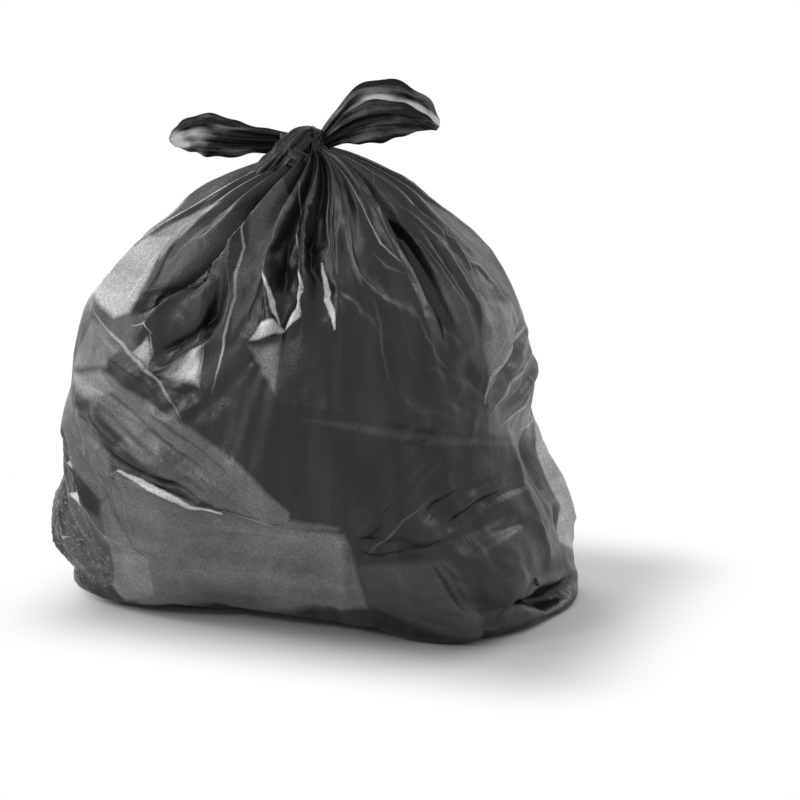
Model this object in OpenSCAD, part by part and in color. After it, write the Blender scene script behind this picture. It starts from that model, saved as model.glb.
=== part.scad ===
/* [Sack] */
// Width of the filled sack across its front
sack_w = 466; // [430:1:500]
// Depth of the filled sack from front to back
sack_d = 342; // [310:1:380]
// Height of the gathered throat below the knot
throat_h = 418; // [390:1:450]
// Radius of the gathered throat
throat_r = 15; // [13:0.5:18]
// Height of the front edge that the film holds off the ground
front_lift = 34; // [20:1:40]

/* [Folds] */
// Depth of the gathers that run down from the throat, 1 as shown
gather_depth = 1; // [0.6:0.05:1.2]
// Depth of the slack creases lower down, 1 as shown
crease_depth = 1; // [0.6:0.05:1.2]
// Number of small pleats round the throat
throat_pleats = 26; // [20:1:32]
// Height of the small pleats round the throat
throat_pleat_h = 7; // [3:0.5:10]
// Depth of the pocket tucked in at the lower right corner
corner_tuck = 36; // [15:1:40]

/* [Ears] */
// Length of the left ear, as a share of the one shown
left_ear_l = 1; // [0.8:0.05:1.3]
// Length of the right ear, as a share of the one shown
right_ear_l = 1; // [0.8:0.05:1.3]
// Width of both ears, as a share of the ones shown
ear_spread = 1; // [0.8:0.05:1.2]
// Thickness of the bunched film in the ears
ear_t = 7; // [5:0.5:10]
// Height of the pleats that fan out along the ears
ear_pleat_h = 3; // [1:0.5:5]
// Turn of the ears from the line of the front, in degrees
ear_turn = 14; // [0:1:30]

/* [Knot] */
// Width of the strands of film in the knot
strand_w = 17; // [14:0.5:20]

/* [Hidden] */
// sizes of the sack that the lists below describe
listed_w = 466;
listed_d = 342;
listed_throat_h = 418;
listed_throat_r = 15;
listed_strand_w = 17;

// size of this sack beside the listed one
wide = sack_w / listed_w;
deep = sack_d / listed_d;
tall = throat_h / listed_throat_h;
strand_scale = strand_w / listed_strand_w;
knot_lift = throat_h - listed_throat_h;

// folds are at full height where the sack is this wide, and shrink with it up to the throat
full_fold_radius = 150;
least_fold_share = 0.07;

// length over which the folds grow from the foot of the side
foot_fade = 20;

// pleats of the throat start at this length up the side, and grow over the next
throat_pleat_from = 380;
throat_pleat_growth = 70;

// the raised front edge: its middle angle, half its spread in degrees, and how far it tucks in
front_edge_angle = -84;
front_edge_spread = 50;
front_edge_tuck = 62;

// level rings of the plain body: height, half width, half depth, squareness, centre x, centre y, turn
rings = [
    [0, 222, 108, 3.4, 2, 8, 3],
    [6, 233, 124, 3.4, 3, 8, 3],
    [30, 233, 150, 3.2, 2, 6, 2],
    [85, 230, 170, 3, -8, 2, 0],
    [150, 209, 171, 2.8, -18, 0, 0],
    [220, 206, 165, 2.5, -18, 0, 0],
    [280, 197, 152, 2.35, -13, 0, 0],
    [322, 166, 128, 2.2, -8, 0, 0],
    [354, 128, 103, 2.1, -4, 0, 0],
    [380, 88, 75, 2, 2, 0, 0],
    [400, 54, 48, 2, 5, 0, 0],
    [413, 31, 27, 2, 3, 0, 0],
    [421, 16, 14, 2, -3, 0, 0],
    [429, 13, 12, 2, -5, 0, 0],
];

// gathers from the throat: half breadth, height (below 0 a valley), points of [angle, length up the side]
front_gathers = [
    [30, 10, [[33, 520], [30, 470], [24, 417], [20, 340], [16, 290]]],
    [30, -14, [[10, 520], [5, 448], [-1, 374], [-4, 300]]],
    [20, 12, [[-8, 520], [-12, 431], [-8, 380], [-10, 337], [-13, 262]]],
    [26, -18, [[-22, 520], [-24, 407], [-24, 320], [-27, 244]]],
    [20, 12, [[-31, 520], [-34, 446], [-34, 403], [-33, 340]]],
    [24, -10, [[-42, 520], [-46, 408], [-48, 330]]],
    [17, -15, [[-62, 520], [-66, 443], [-66, 382], [-63, 318]]],
    [17, -15, [[-78, 520], [-79, 446], [-77, 360], [-73, 308]]],
    [26, 22, [[-96, 520], [-98, 467], [-98, 411], [-100, 373], [-92, 323], [-91, 277], [-93, 232]]],
    [38, -38, [[-110, 520], [-112, 430], [-112, 390], [-118, 354], [-127, 330], [-138, 302]]],
    [44, 14, [[-150, 520], [-147, 450], [-147, 390], [-150, 330], [-158, 262]]],
    [26, -12, [[-166, 520], [-168, 450], [-174, 370]]],
    [26, 12, [[-182, 520], [-182, 440], [-180, 350], [-176, 295]]],
];

// gathers with a blunt lower end
blunt_gathers = [
    [18, 16, [[-54, 520], [-58, 440], [-59, 382], [-56, 322], [-58, 292]]],
    [18, 17, [[-70, 520], [-73, 440], [-69, 369], [-67, 320], [-72, 290]]],
    [16, 14, [[-86, 520], [-86, 450], [-83, 374], [-79, 316], [-75, 290]]],
];

// slack creases that start and end on the body: half breadth, height, points
front_creases = [
    [26, 9, [[-87, 282], [-80, 298], [-73, 290]]],
    [38, -22, [[-93, 340], [-101, 304], [-111, 280], [-120, 252]]],
    [32, 12, [[-101, 392], [-107, 344], [-117, 302], [-127, 268]]],
    [27, 12, [[-97, 294], [-106, 272], [-116, 252]]],
    [26, -6, [[-94, 238], [-106, 238], [-119, 250]]],
    [26, -6, [[-84, 286], [-78, 264], [-72, 242]]],
    [35, 15, [[-152, 292], [-134, 262], [-116, 246], [-104, 214], [-88, 186], [-72, 146], [-58, 128]]],
    [30, -13, [[-144, 244], [-128, 220], [-113, 196], [-99, 174], [-86, 156]]],
    [35, 13, [[-154, 234], [-138, 206], [-122, 180], [-108, 166], [-92, 152]]],
    [27, -11, [[-142, 206], [-129, 180], [-116, 161], [-102, 150]]],
    [27, 11, [[-152, 200], [-136, 172], [-125, 158], [-112, 148], [-92, 134], [-74, 128]]],
    [27, -9, [[-122, 140], [-104, 126], [-84, 122], [-60, 118]]],
    [32, 12, [[-164, 214], [-150, 186], [-139, 156], [-133, 116], [-131, 64]]],
    [30, -12, [[-160, 156], [-150, 112], [-144, 62], [-140, 34]]],
    [27, -10, [[-176, 176], [-163, 126], [-154, 74]]],
    [30, 12, [[-172, 124], [-163, 80], [-153, 34]]],
    [27, -10, [[-180, 144], [-174, 92], [-168, 40]]],
    [32, -15, [[-60, 106], [-49, 101], [-38, 108], [-22, 121], [-6, 132]]],
    [30, 10, [[-58, 130], [-58, 100], [-59, 66], [-62, 36]]],
    [27, -10, [[-38, 112], [-34, 71], [-31, 40]]],
    [27, 10, [[-56, 112], [-49, 136], [-42, 168], [-34, 206]]],
    [26, -9, [[-48, 142], [-41, 176], [-31, 210]]],
    [27, -10, [[-40, 132], [-32, 146], [-24, 156], [-8, 163]]],
    [26, -9, [[-38, 116], [-28, 128], [-18, 138], [-4, 146]]],
    [35, 11, [[-92, 246], [-61, 231], [-45, 222], [-34, 213], [-10, 206]]],
    [30, -5, [[-74, 214], [-50, 204], [-28, 196], [-10, 186]]],
    [26, 5, [[8, 304], [-6, 274], [-15, 254], [-20, 226]]],
    [26, -5, [[12, 290], [-2, 264], [-13, 238]]],
    [26, 5, [[18, 290], [5, 264], [-6, 242], [-14, 218]]],
    [26, -5, [[22, 272], [9, 246], [-2, 222]]],
    [26, 5, [[22, 252], [7, 232], [-8, 204]]],
    [27, -5, [[-18, 282], [-21, 248], [-27, 208]]],
    [32, 10, [[-6, 200], [-3, 152], [-4, 111], [0, 44]]],
    [30, -12, [[9, 206], [12, 150], [10, 100], [8, 44]]],
    [30, 12, [[22, 214], [25, 150], [23, 90], [20, 36]]],
];

// broad swells and hollows: angle, length up the side, half breadth, half height, rise
swells = [
    [-28, 40, 60, 60, 12],
    [-160, 90, 60, 70, 8],
    [-120, 85, 110, 50, -8],
    [-62, 262, 90, 70, 8],
    [-14, 176, 60, 46, 8],
    [-36, 160, 50, 40, -6],
    [-12, 30, 40, 22, -corner_tuck],
    [6, 12, 40, 16, 6],
    [-150, 262, 60, 50, 6],
    [100, 120, 160, 60, 8],
    [60, 230, 100, 60, -6],
    [140, 240, 80, 60, 7],
    [12, 236, 50, 46, 10],
];

// an even scatter of numbers from 0 to 1, for the folds on the far side
scatter_steps = [12.9898, 78.233];
scatter_size = 43758.5453;
function scatter(i, k) =
    let (v = sin((i * scatter_steps[0] + k * scatter_steps[1]) * 180 / PI) * scatter_size) v - floor(v);
function between(limits, i, k) = limits[0] + (limits[1] - limits[0]) * scatter(i, k);

// gathers of the far side, with limits for what differs from one to the next
back_gather_count = 15;
back_gather_from = 42;
back_gather_step = 9.6;
back_gather_top = 520;
back_gather_bend = 440;
back_gather_low = [290, 380];
back_gather_drift = [-7, 7];
back_gather_breadth = [24, 34];
back_gather_rise = [10, 16];
drift_at_bend = 0.3;
back_gathers = [
    for (i = [0:back_gather_count - 1])
        let (
            a = back_gather_from + i * back_gather_step,
            way = i % 2 == 0 ? 1 : -1,
            low = between(back_gather_low, i, 1),
            drift = between(back_gather_drift, i, 2)
        )
        [
            between(back_gather_breadth, i, 3),
            way * between(back_gather_rise, i, 4),
            [[a, back_gather_top], [a + drift * drift_at_bend, back_gather_bend], [a + drift, low]],
        ],
];

// creases low down and left of this column run down to the right, and the others down to the left
lean_columns = 34;

// creases of the far side, each with the same run of [angle, length] from its middle
back_crease_count = 16;
back_crease_from = 36;
back_crease_step = 37;
back_crease_span = 140;
back_crease_up = [60, 230];
back_crease_breadth = [28, 40];
back_crease_rise = [9, 14];
back_crease_run = [[-14, 34], [0, 0], [12, -22], [26, -30]];
back_creases = [
    for (i = [0:back_crease_count - 1])
        let (
            a = back_crease_from + (i * back_crease_step) % back_crease_span,
            up = between(back_crease_up, i, 5),
            lean = i % 3 == 0 ? 1 : -1,
            way = i % 2 == 0 ? -1 : 1
        )
        [
            between(back_crease_breadth, i, 6),
            way * between(back_crease_rise, i, 7),
            [for (q = back_crease_run) [a + lean * q[0], up + q[1]]],
        ],
];

// millimetres that one degree stands for in the breadth of a fold
mm_per_degree = 3.6;

function wrap(a) = a - 360 * floor((a + 180) / 360);
function ease(x) = let (k = min(1, max(0, x))) k * k * (3 - 2 * k);
function clamp01(x) = min(1, max(0, x));

// a fold with the box of angle and length that it touches put before it
function boxed(f) =
    let (
        a = [for (p = f[2]) p[0]],
        s = [for (p = f[2]) p[1]],
        reach = f[0] / mm_per_degree
    )
    [
        (min(a) + max(a)) / 2,
        (max(a) - min(a)) / 2 + reach,
        min(s) - f[0],
        max(s) + f[0],
        f[0],
        f[1],
        f[2],
    ];

gathers = [for (f = concat(front_gathers, back_gathers)) boxed(f)];
blunt = [for (f = blunt_gathers) boxed(f)];
creases = [for (f = concat(front_creases, back_creases)) boxed(f)];

// how soon a fold reaches its full height from an end, where 1 would take its whole length
gather_fade = 2.5;
blunt_fade = 7;
crease_fade = 3;

// distance from a point to one leg of a fold, and the share of the fold passed there
function to_leg(a, s, p, q, i, legs) =
    let (
        x = wrap(a - p[0]) * mm_per_degree,
        y = s - p[1],
        u = (q[0] - p[0]) * mm_per_degree,
        v = q[1] - p[1],
        t = clamp01((x * u + y * v) / (u * u + v * v))
    )
    [norm([x - t * u, y - t * v]), (i + t) / legs];

function nearest(d, i = 0) =
    i == len(d) - 1 ? d[i]
    : let (rest = nearest(d, i + 1)) d[i][0] <= rest[0] ? d[i] : rest;

// section of a fold, 1 at its crest and 0 at its foot: gathers are sharp, creases are rounded
gather_power = 1.5;
crease_power = 2;
function fold_section(k, both_ends) =
    both_ends ? pow(1 - k * k, crease_power) : pow(1 - k, gather_power);

// a fold that fades at its lower end, and a crease at its upper end too
function fold_rise(a, s, f, fade, both_ends = false) =
    s < f[2] || s > f[3] || abs(wrap(a - f[0])) > f[1] ? 0
    : let (
        legs = len(f[6]) - 1,
        d = nearest([for (i = [0:legs - 1]) to_leg(a, s, f[6][i], f[6][i + 1], i, legs)])
    )
    d[0] >= f[4] ? 0
    : f[5] * fold_section(d[0] / f[4], both_ends)
        * ease((1 - d[1]) * fade) * (both_ends ? ease(d[1] * fade) : 1);

function sum(v, i = 0, t = 0) = i == len(v) ? t : sum(v, i + 1, t + v[i]);

// how far a swell reaches, as a share of its half breadth
swell_reach = 2.5;
function swell_rise(a, s, w) =
    let (x = wrap(a - w[0]) * mm_per_degree / w[2], y = (s - w[1]) / w[3])
    max(abs(x), abs(y)) > swell_reach ? 0 : w[4] * exp(-x * x - y * y);

// rise of the film over the plain body
function rise(a, s) =
    gather_depth * sum([for (f = gathers) fold_rise(a, s, f, gather_fade)])
    + gather_depth * sum([for (f = blunt) fold_rise(a, s, f, blunt_fade)])
    + crease_depth * sum([for (f = creases) fold_rise(a, s, f, crease_fade, true)])
    + sum([for (w = swells) swell_rise(a, s, w)])
    + throat_pleat_h * cos(throat_pleats * a) * ease((s - throat_pleat_from) / throat_pleat_growth);

// a ring between the listed ones, on a smooth curve through them
function ring_at(w) =
    let (
        n = len(rings) - 1,
        i = min(n - 1, floor(w)),
        f = w - i,
        p0 = rings[max(0, i - 1)],
        p1 = rings[i],
        p2 = rings[i + 1],
        p3 = rings[min(n, i + 2)]
    )
    0.5 * (2 * p1 + (p2 - p0) * f + (2 * p0 - 5 * p1 + 4 * p2 - p3) * f * f
        + (3 * p1 - p0 - 3 * p2 + p3) * f * f * f);

// length up the side at even steps of the ring number
fine = 520;
profile = [
    for (i = [0:fine])
        let (r = ring_at(i * (len(rings) - 1) / fine)) [(r[1] + r[2]) / 2, r[0]],
];
lengths = [for (i = 0, t = 0; i <= fine; t = t + norm(profile[min(fine, i + 1)] - profile[i]), i = i + 1) t];
side_l = lengths[fine];

// ring number at a length up the side
function ring_number(s) =
    let (i = s >= side_l ? fine : len([for (t = lengths) if (t < s) 1]))
    i == 0 ? 0
    : i >= fine ? len(rings) - 1
    : (i - 1 + (s - lengths[i - 1]) / (lengths[i] - lengths[i - 1])) * (len(rings) - 1) / fine;

// columns stand closer on the front than on the back
front_columns = 64;
back_columns = 36;
columns = front_columns + back_columns;
front_from = -190;
front_span = 204;
function column_angle(j) =
    j < front_columns ? front_from + front_span * j / front_columns
    : front_from + front_span + (360 - front_span) * (j - front_columns) / back_columns;

// rows stand closer where the folds lie across the side than under the throat
low_rows = 23;
low_span = 250;
middle_rows = 14;
middle_span = 400;
top_rows = 6;
rows = low_rows + middle_rows + top_rows;
function row_length(k) =
    k <= low_rows ? low_span * k / low_rows
    : k <= low_rows + middle_rows ? low_span + (middle_span - low_span) * (k - low_rows) / middle_rows
    : middle_span + (side_l - middle_span) * (k - low_rows - middle_rows) / top_rows;

// one point of the folded body
function body_point(a, s, r, out_r, out_z) =
    let (
        c = abs(cos(a - r[6]) / r[1]),
        d = abs(sin(a - r[6]) / r[2]),
        radius = pow(pow(c, r[3]) + pow(d, r[3]), -1 / r[3]),
        mean = (r[1] + r[2]) / 2,
        fold_share = min(1, max(least_fold_share, mean / full_fold_radius)),
        lift = rise(a, s) * fold_share * ease(s / foot_fade),
        front = ease(1 - abs(wrap(a - front_edge_angle)) / front_edge_spread),
        z = max(0, r[0] + out_z * lift),
        under = front * clamp01(1 - z / front_lift) * front_edge_tuck,
        reach = radius + out_r * lift,
        throat = max(0, 1 - mean / full_fold_radius) * (throat_r / listed_throat_r - 1)
    )
    [
        (r[4] + reach * cos(a)) * (wide + throat),
        (r[5] + reach * sin(a) + under) * (deep + throat),
        z * tall,
    ];

body_points = [
    for (k = [0:rows])
        let (
            s = row_length(k),
            r = ring_at(ring_number(s)),
            above = ring_at(ring_number(min(side_l, s + 1))),
            below = ring_at(ring_number(max(0, s - 1))),
            run = (above[1] + above[2] - below[1] - below[2]) / 2,
            climb = above[0] - below[0],
            slope = norm([run, climb])
        )
        for (j = [0:columns - 1])
            body_point(column_angle(j), s, r, climb / slope, -run / slope),
];

// walls of a closed skin of stacked loops, with a point at each end
// cells in the first "turn" columns and lowest "lean" rows are split from their top left
function skin_faces(n, m, turn, lean) =
    let (a = n * m, b = n * m + 1)
    concat(
        [
            for (i = [0:n - 2])
                for (j = [0:m - 1])
                    let (k = (j + 1) % m, low = i * m, up = low + m)
                    each (
                        j < turn && i < lean
                        ? [[low + j, up + j, low + k], [up + j, up + k, low + k]]
                        : [[low + j, up + j, up + k], [low + j, up + k, low + k]]
                    ),
        ],
        [for (j = [0:m - 1]) [a, j, (j + 1) % m]],
        [for (j = [0:m - 1]) [b, (n - 1) * m + (j + 1) % m, (n - 1) * m + j]]
    );

function middle(v, from, count) = [
    for (i = [0:2]) sum([for (j = [from:from + count - 1]) v[j][i]]) / count,
];

module skin(points, n, m, turn = 0, lean = 0) {
    ends = [middle(points, 0, m), middle(points, (n - 1) * m, m)];
    polyhedron(concat(points, ends), skin_faces(n, m, turn, lean), convexity = 10);
}

// ears: along the middle line, distance out, height, half width, distance forward, roll
left_ear = [
    [-10, 426, 5.5, 0, 20],
    [-24, 426.5, 8, 2, 14],
    [-42, 427, 10.5, 4, 8],
    [-57, 428, 13, 5, 4],
    [-73, 428.5, 17, 5, 0],
    [-89, 430.5, 20.5, 5, -4],
    [-105, 431.5, 19.5, 3, -8],
    [-118, 430, 15.5, 0, -10],
    [-128, 427.5, 11, -3, -8],
    [-135, 425.5, 6, -4, -6],
    [-138, 424.5, 2, -5, -6],
];
right_ear_back = [
    [0, 422.5, 5, 0, 20],
    [9, 434.5, 5.5, -1, 14],
    [22, 448, 8.5, -2, 8],
    [34.5, 458.5, 13, -4, 4],
    [49, 463.5, 19, -6, 0],
    [65, 463.5, 20, -7, -3],
    [81.5, 459.5, 16.5, -8, -6],
    [95.5, 453.5, 13.5, -7, -10],
    [105, 446.5, 8, -5, -12],
    [109.5, 441.5, 4, -4, -12],
    [111, 440, 2, -3, -12],
];
right_ear_front = [
    [0, 421.5, 5, 0, 0],
    [10.5, 428, 7, 2, -4],
    [23, 435, 11, 5, -8],
    [38.5, 442, 16.5, 9, -10],
    [59, 447.5, 18.5, 11, -8],
    [79, 449, 15, 11, -4],
    [96, 447, 9.5, 8, 0],
    [106.5, 443, 4.5, 4, 0],
    [111.5, 440.5, 2, 2, 0],
];

ear_sides = 22;

// pleats of the ears: degrees of their wave over half the width, and where in it each ear starts
ear_pleat_wave = 540;
ear_phases = [0, 40, 120];

// share of the pleats that is lost at the tip, and the half width from which they are full
ear_pleat_loss = 0.8;
full_pleat_half = 12;

// most thickness of an ear beside its half width
ear_most_t = 1.2;

function ear_points(path, long, phase) = [
    for (i = [0:len(path) - 1])
        let (
            last = len(path) - 1,
            u = i / last,
            p = path[i],
            before = path[max(0, i - 1)],
            after = path[min(last, i + 1)],
            run = [after[0] - before[0], 0, after[1] - before[1]],
            along = run / norm(run),
            flat = [-along[2], 0, along[0]],
            away = [0, -1, 0],
            across = flat * cos(p[4]) + away * sin(p[4]),
            through = cross(along, across),
            swing = path[0][0] + (p[0] - path[0][0]) * long,
            half = p[2] * ear_spread,
            thick = min(ear_t, p[2] * ear_most_t) / 2
        )
        for (j = [0:ear_sides - 1])
            let (
                a = j * 360 / ear_sides,
                q = cos(a),
                pleat = ear_pleat_h * (1 - u * u * ear_pleat_loss) * cos(ear_pleat_wave * q + phase)
                    * min(1, p[2] / full_pleat_half) * (1 - q * q * q * q),
                side = thick * sin(a)
            )
            [swing, -p[3], p[1]] + across * half * q + through * (side + pleat),
];

module ear(path, long, phase) {
    translate([0, 0, knot_lift]) {
        rotate([0, 0, ear_turn]) {
            skin(ear_points(path, long, phase), len(path), ear_sides);
        }
    }
}

// knot strands: x, y, height, half width, half thickness
knot_wrap = [
    [-66, -30, 370, 10, 6],
    [-48, -27, 388, 11, 7],
    [-35, -25, 402, 12, 8],
    [-24, -23, 413, 12.5, 10],
    [-14, -17, 424, 11.5, 10],
    [-8, -8, 432, 9.5, 8],
    [-7, 3, 432, 8.5, 7],
    [-8, 11, 425, 8.5, 7],
    [-8, 12, 410, 8.5, 7],
];
knot_band = [
    [-31, 0, 427, 8, 7],
    [-27, -13, 423.5, 9.5, 8],
    [-18, -22, 417, 10.5, 8],
    [-7, -24, 409.5, 10.5, 8],
    [1, -17, 407, 9.5, 8],
    [4, -3, 411, 8.5, 7],
    [0, 10, 418, 8.5, 7],
    [-11, 14, 423.5, 8.5, 7],
    [-24, 9, 427, 8, 7],
];
knot_rise = [
    [9, -24, 388, 7.5, 6],
    [6, -18, 403, 7.5, 7],
    [2, -10, 417, 6.5, 7],
    [1, -4, 429, 6.5, 6],
    [5, -3, 438, 6.5, 5],
];
// middle of the knot and its half sizes
knot_core = [-13, -5, 418.5];
knot_core_half = [14.5, 14, 17];
knot_sides = 10;

module strand(path) {
    last = len(path) - 1;
    for (i = [0:last - 1]) {
        hull() {
            for (k = [i, i + 1]) {
                run = path[min(last, k + 1)] - path[max(0, k - 1)];
                flat = norm([run[0], run[1]]);
                lean = atan2(flat, run[2]);
                translate([path[k][0], path[k][1], path[k][2] + knot_lift]) {
                    rotate([0, lean, atan2(run[1], run[0])]) {
                        scale([path[k][4] * strand_scale, path[k][3] * strand_scale, 1]) {
                            cylinder(r = 1, h = 1, center = true, $fn = knot_sides);
                        }
                    }
                }
            }
        }
    }
}

module tied_bag() {
    color([0.11, 0.11, 0.115]) {
        union() {
            skin(body_points, rows + 1, columns, lean_columns, low_rows);
            ear(left_ear, left_ear_l, ear_phases[0]);
            ear(right_ear_back, right_ear_l, ear_phases[1]);
            ear(right_ear_front, right_ear_l, ear_phases[2]);
            strand(knot_wrap);
            strand(knot_band);
            strand(knot_rise);
            translate(knot_core + [0, 0, knot_lift]) {
                scale(knot_core_half * strand_scale) {
                    sphere(r = 1, $fn = knot_sides);
                }
            }
        }
    }
}

tied_bag();
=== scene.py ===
from math import cos, hypot, pi, radians, sin

import bpy
import numpy as np
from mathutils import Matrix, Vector


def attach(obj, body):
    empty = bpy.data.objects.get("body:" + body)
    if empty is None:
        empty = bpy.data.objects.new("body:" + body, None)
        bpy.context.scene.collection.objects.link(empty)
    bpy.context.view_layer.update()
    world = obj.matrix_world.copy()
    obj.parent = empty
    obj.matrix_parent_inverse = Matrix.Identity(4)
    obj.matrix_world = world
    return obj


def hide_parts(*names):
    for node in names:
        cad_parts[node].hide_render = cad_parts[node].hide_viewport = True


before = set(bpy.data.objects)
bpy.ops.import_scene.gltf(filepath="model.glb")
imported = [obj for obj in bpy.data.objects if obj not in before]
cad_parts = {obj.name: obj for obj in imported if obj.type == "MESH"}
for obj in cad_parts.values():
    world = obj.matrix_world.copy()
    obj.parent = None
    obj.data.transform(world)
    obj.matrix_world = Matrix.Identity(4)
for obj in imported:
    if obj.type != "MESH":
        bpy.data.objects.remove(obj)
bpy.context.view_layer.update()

# A filled refuse sack of dark polythene film, closed by a knot with two ears.
# Lengths in the tables are millimetres in the part's frame, front towards -Y.
MM = 0.001
NODE = "tied_bag"

# The camera, as in the photograph
CAMERA_AZIMUTH = 22.0
CAMERA_ELEVATION = 13.0
CAMERA_DISTANCE = 2.3
AIM_RIGHT = 0.076
AIM_UP = 0.1805
SENSOR = 36.0
FRAME_WIDTH = 0.76

# Plain rings of the body: height, half width, half depth, squareness, centre x, centre y, turn
RINGS = np.array([
    [0, 222, 108, 3.4, 2, 8, 3],
    [6, 233, 124, 3.4, 3, 8, 3],
    [30, 233, 150, 3.2, 2, 6, 2],
    [85, 230, 170, 3, -8, 2, 0],
    [150, 209, 171, 2.8, -18, 0, 0],
    [220, 206, 165, 2.5, -18, 0, 0],
    [280, 197, 152, 2.35, -13, 0, 0],
    [322, 166, 128, 2.2, -8, 0, 0],
    [354, 128, 103, 2.1, -4, 0, 0],
    [380, 88, 75, 2, 2, 0, 0],
    [400, 54, 48, 2, 5, 0, 0],
    [413, 31, 27, 2, 3, 0, 0],
    [421, 16, 14, 2, -3, 0, 0],
    [429, 13, 12, 2, -5, 0, 0],
], float)

# Gathers from the throat: half breadth, height, then points, each an angle and a length up the side
GATHERS = [
    (30, 10, 33, 520, 30, 470, 24, 417, 20, 340, 16, 290),
    (30, -14, 10, 520, 5, 448, -1, 374, -4, 300),
    (20, 12, -8, 520, -12, 431, -8, 380, -10, 337, -13, 262),
    (26, -18, -22, 520, -24, 407, -24, 320, -27, 244),
    (20, 12, -31, 520, -34, 446, -34, 403, -33, 340),
    (24, -10, -42, 520, -46, 408, -48, 330),
    (17, -15, -62, 520, -66, 443, -66, 382, -63, 318),
    (17, -15, -78, 520, -79, 446, -77, 360, -73, 308),
    (26, 22, -96, 520, -98, 467, -98, 411, -100, 373, -92, 323, -91, 277, -93, 232),
    (38, -38, -110, 520, -112, 430, -112, 390, -118, 354, -127, 330, -138, 302),
    (44, 14, -150, 520, -147, 450, -147, 390, -150, 330, -158, 262),
    (26, -12, -166, 520, -168, 450, -174, 370),
    (26, 12, -182, 520, -182, 440, -180, 350, -176, 295),
]

# Gathers with a blunt lower end
BLUNT_GATHERS = [
    (18, 16, -54, 520, -58, 440, -59, 382, -56, 322, -58, 292),
    (18, 17, -70, 520, -73, 440, -69, 369, -67, 320, -72, 290),
    (16, 14, -86, 520, -86, 450, -83, 374, -79, 316, -75, 290),
]

# Slack creases that start and end on the body
CREASES = [
    (15, 9, -87, 282, -80, 298, -73, 290),
    (28, -22, -93, 340, -101, 304, -111, 280, -120, 252),
    (24, 12, -101, 392, -107, 344, -117, 302, -127, 268),
    (20, 12, -97, 294, -106, 272, -116, 252),
    (16, -6, -94, 238, -106, 238, -119, 250),
    (16, -6, -84, 286, -78, 264, -72, 242),
    (26, 15, -152, 292, -134, 262, -116, 246, -104, 214, -88, 186, -72, 146, -58, 128),
    (22, -13, -144, 244, -128, 220, -113, 196, -99, 174, -86, 156),
    (26, 13, -154, 234, -138, 206, -122, 180, -108, 166, -92, 152),
    (20, -11, -142, 206, -129, 180, -116, 161, -102, 150),
    (20, 11, -152, 200, -136, 172, -125, 158, -112, 148, -92, 134, -74, 128),
    (20, -9, -122, 140, -104, 126, -84, 122, -60, 118),
    (24, 12, -164, 214, -150, 186, -139, 156, -133, 116, -131, 64),
    (22, -12, -160, 156, -150, 112, -144, 62, -140, 34),
    (20, -10, -176, 176, -163, 126, -154, 74),
    (22, 12, -172, 124, -163, 80, -153, 34),
    (20, -10, -180, 144, -174, 92, -168, 40),
    (24, -15, -60, 106, -49, 101, -38, 108, -22, 121, -6, 132),
    (22, 10, -58, 130, -58, 100, -59, 66, -62, 36),
    (20, -10, -38, 112, -34, 71, -31, 40),
    (20, 10, -56, 112, -49, 136, -42, 168, -34, 206),
    (18, -9, -48, 142, -41, 176, -31, 210),
    (20, -10, -40, 132, -32, 146, -24, 156, -8, 163),
    (18, -9, -38, 116, -28, 128, -18, 138, -4, 146),
    (26, 11, -92, 246, -61, 231, -45, 222, -34, 213, -10, 206),
    (22, -5, -74, 214, -50, 204, -28, 196, -10, 186),
    (16, 5, 8, 304, -6, 274, -15, 254, -20, 226),
    (15, -5, 12, 290, -2, 264, -13, 238),
    (16, 5, 18, 290, 5, 264, -6, 242, -14, 218),
    (15, -5, 22, 272, 9, 246, -2, 222),
    (16, 5, 22, 252, 7, 232, -8, 204),
    (20, -5, -18, 282, -21, 248, -27, 208),
    (24, 10, -6, 200, -3, 152, -4, 111, 0, 44),
    (22, -12, 9, 206, 12, 150, 10, 100, 8, 44),
    (22, 12, 22, 214, 25, 150, 23, 90, 20, 36),
]

# Broad swells and hollows: angle, length up the side, half breadth, half height, rise
SWELLS = [
    (-28, 40, 60, 60, 12),
    (-160, 90, 60, 70, 8),
    (-120, 85, 110, 50, -8),
    (-62, 262, 90, 70, 8),
    (-14, 176, 60, 46, 8),
    (-36, 160, 50, 40, -6),
    (-12, 30, 40, 22, -36),
    (6, 12, 40, 16, 6),
    (-150, 262, 60, 50, 6),
    (100, 120, 160, 60, 8),
    (60, 230, 100, 60, -6),
    (140, 240, 80, 60, 7),
    (12, 236, 50, 46, 10),
]
# Millimetres that one degree stands for in the breadth of a fold
MM_PER_DEGREE = 3.6
# Pleats of the throat start at this length up the side, and grow over the next
THROAT_PLEATS = 26
THROAT_PLEAT_HEIGHT = 7
THROAT_PLEAT_FROM = 380
THROAT_PLEAT_GROWTH = 70
# The raised front edge: middle angle, half spread in degrees, lift and tuck
FRONT_EDGE_ANGLE = -84
FRONT_EDGE_SPREAD = 50
FRONT_LIFT = 34
FRONT_TUCK = 62

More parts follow.
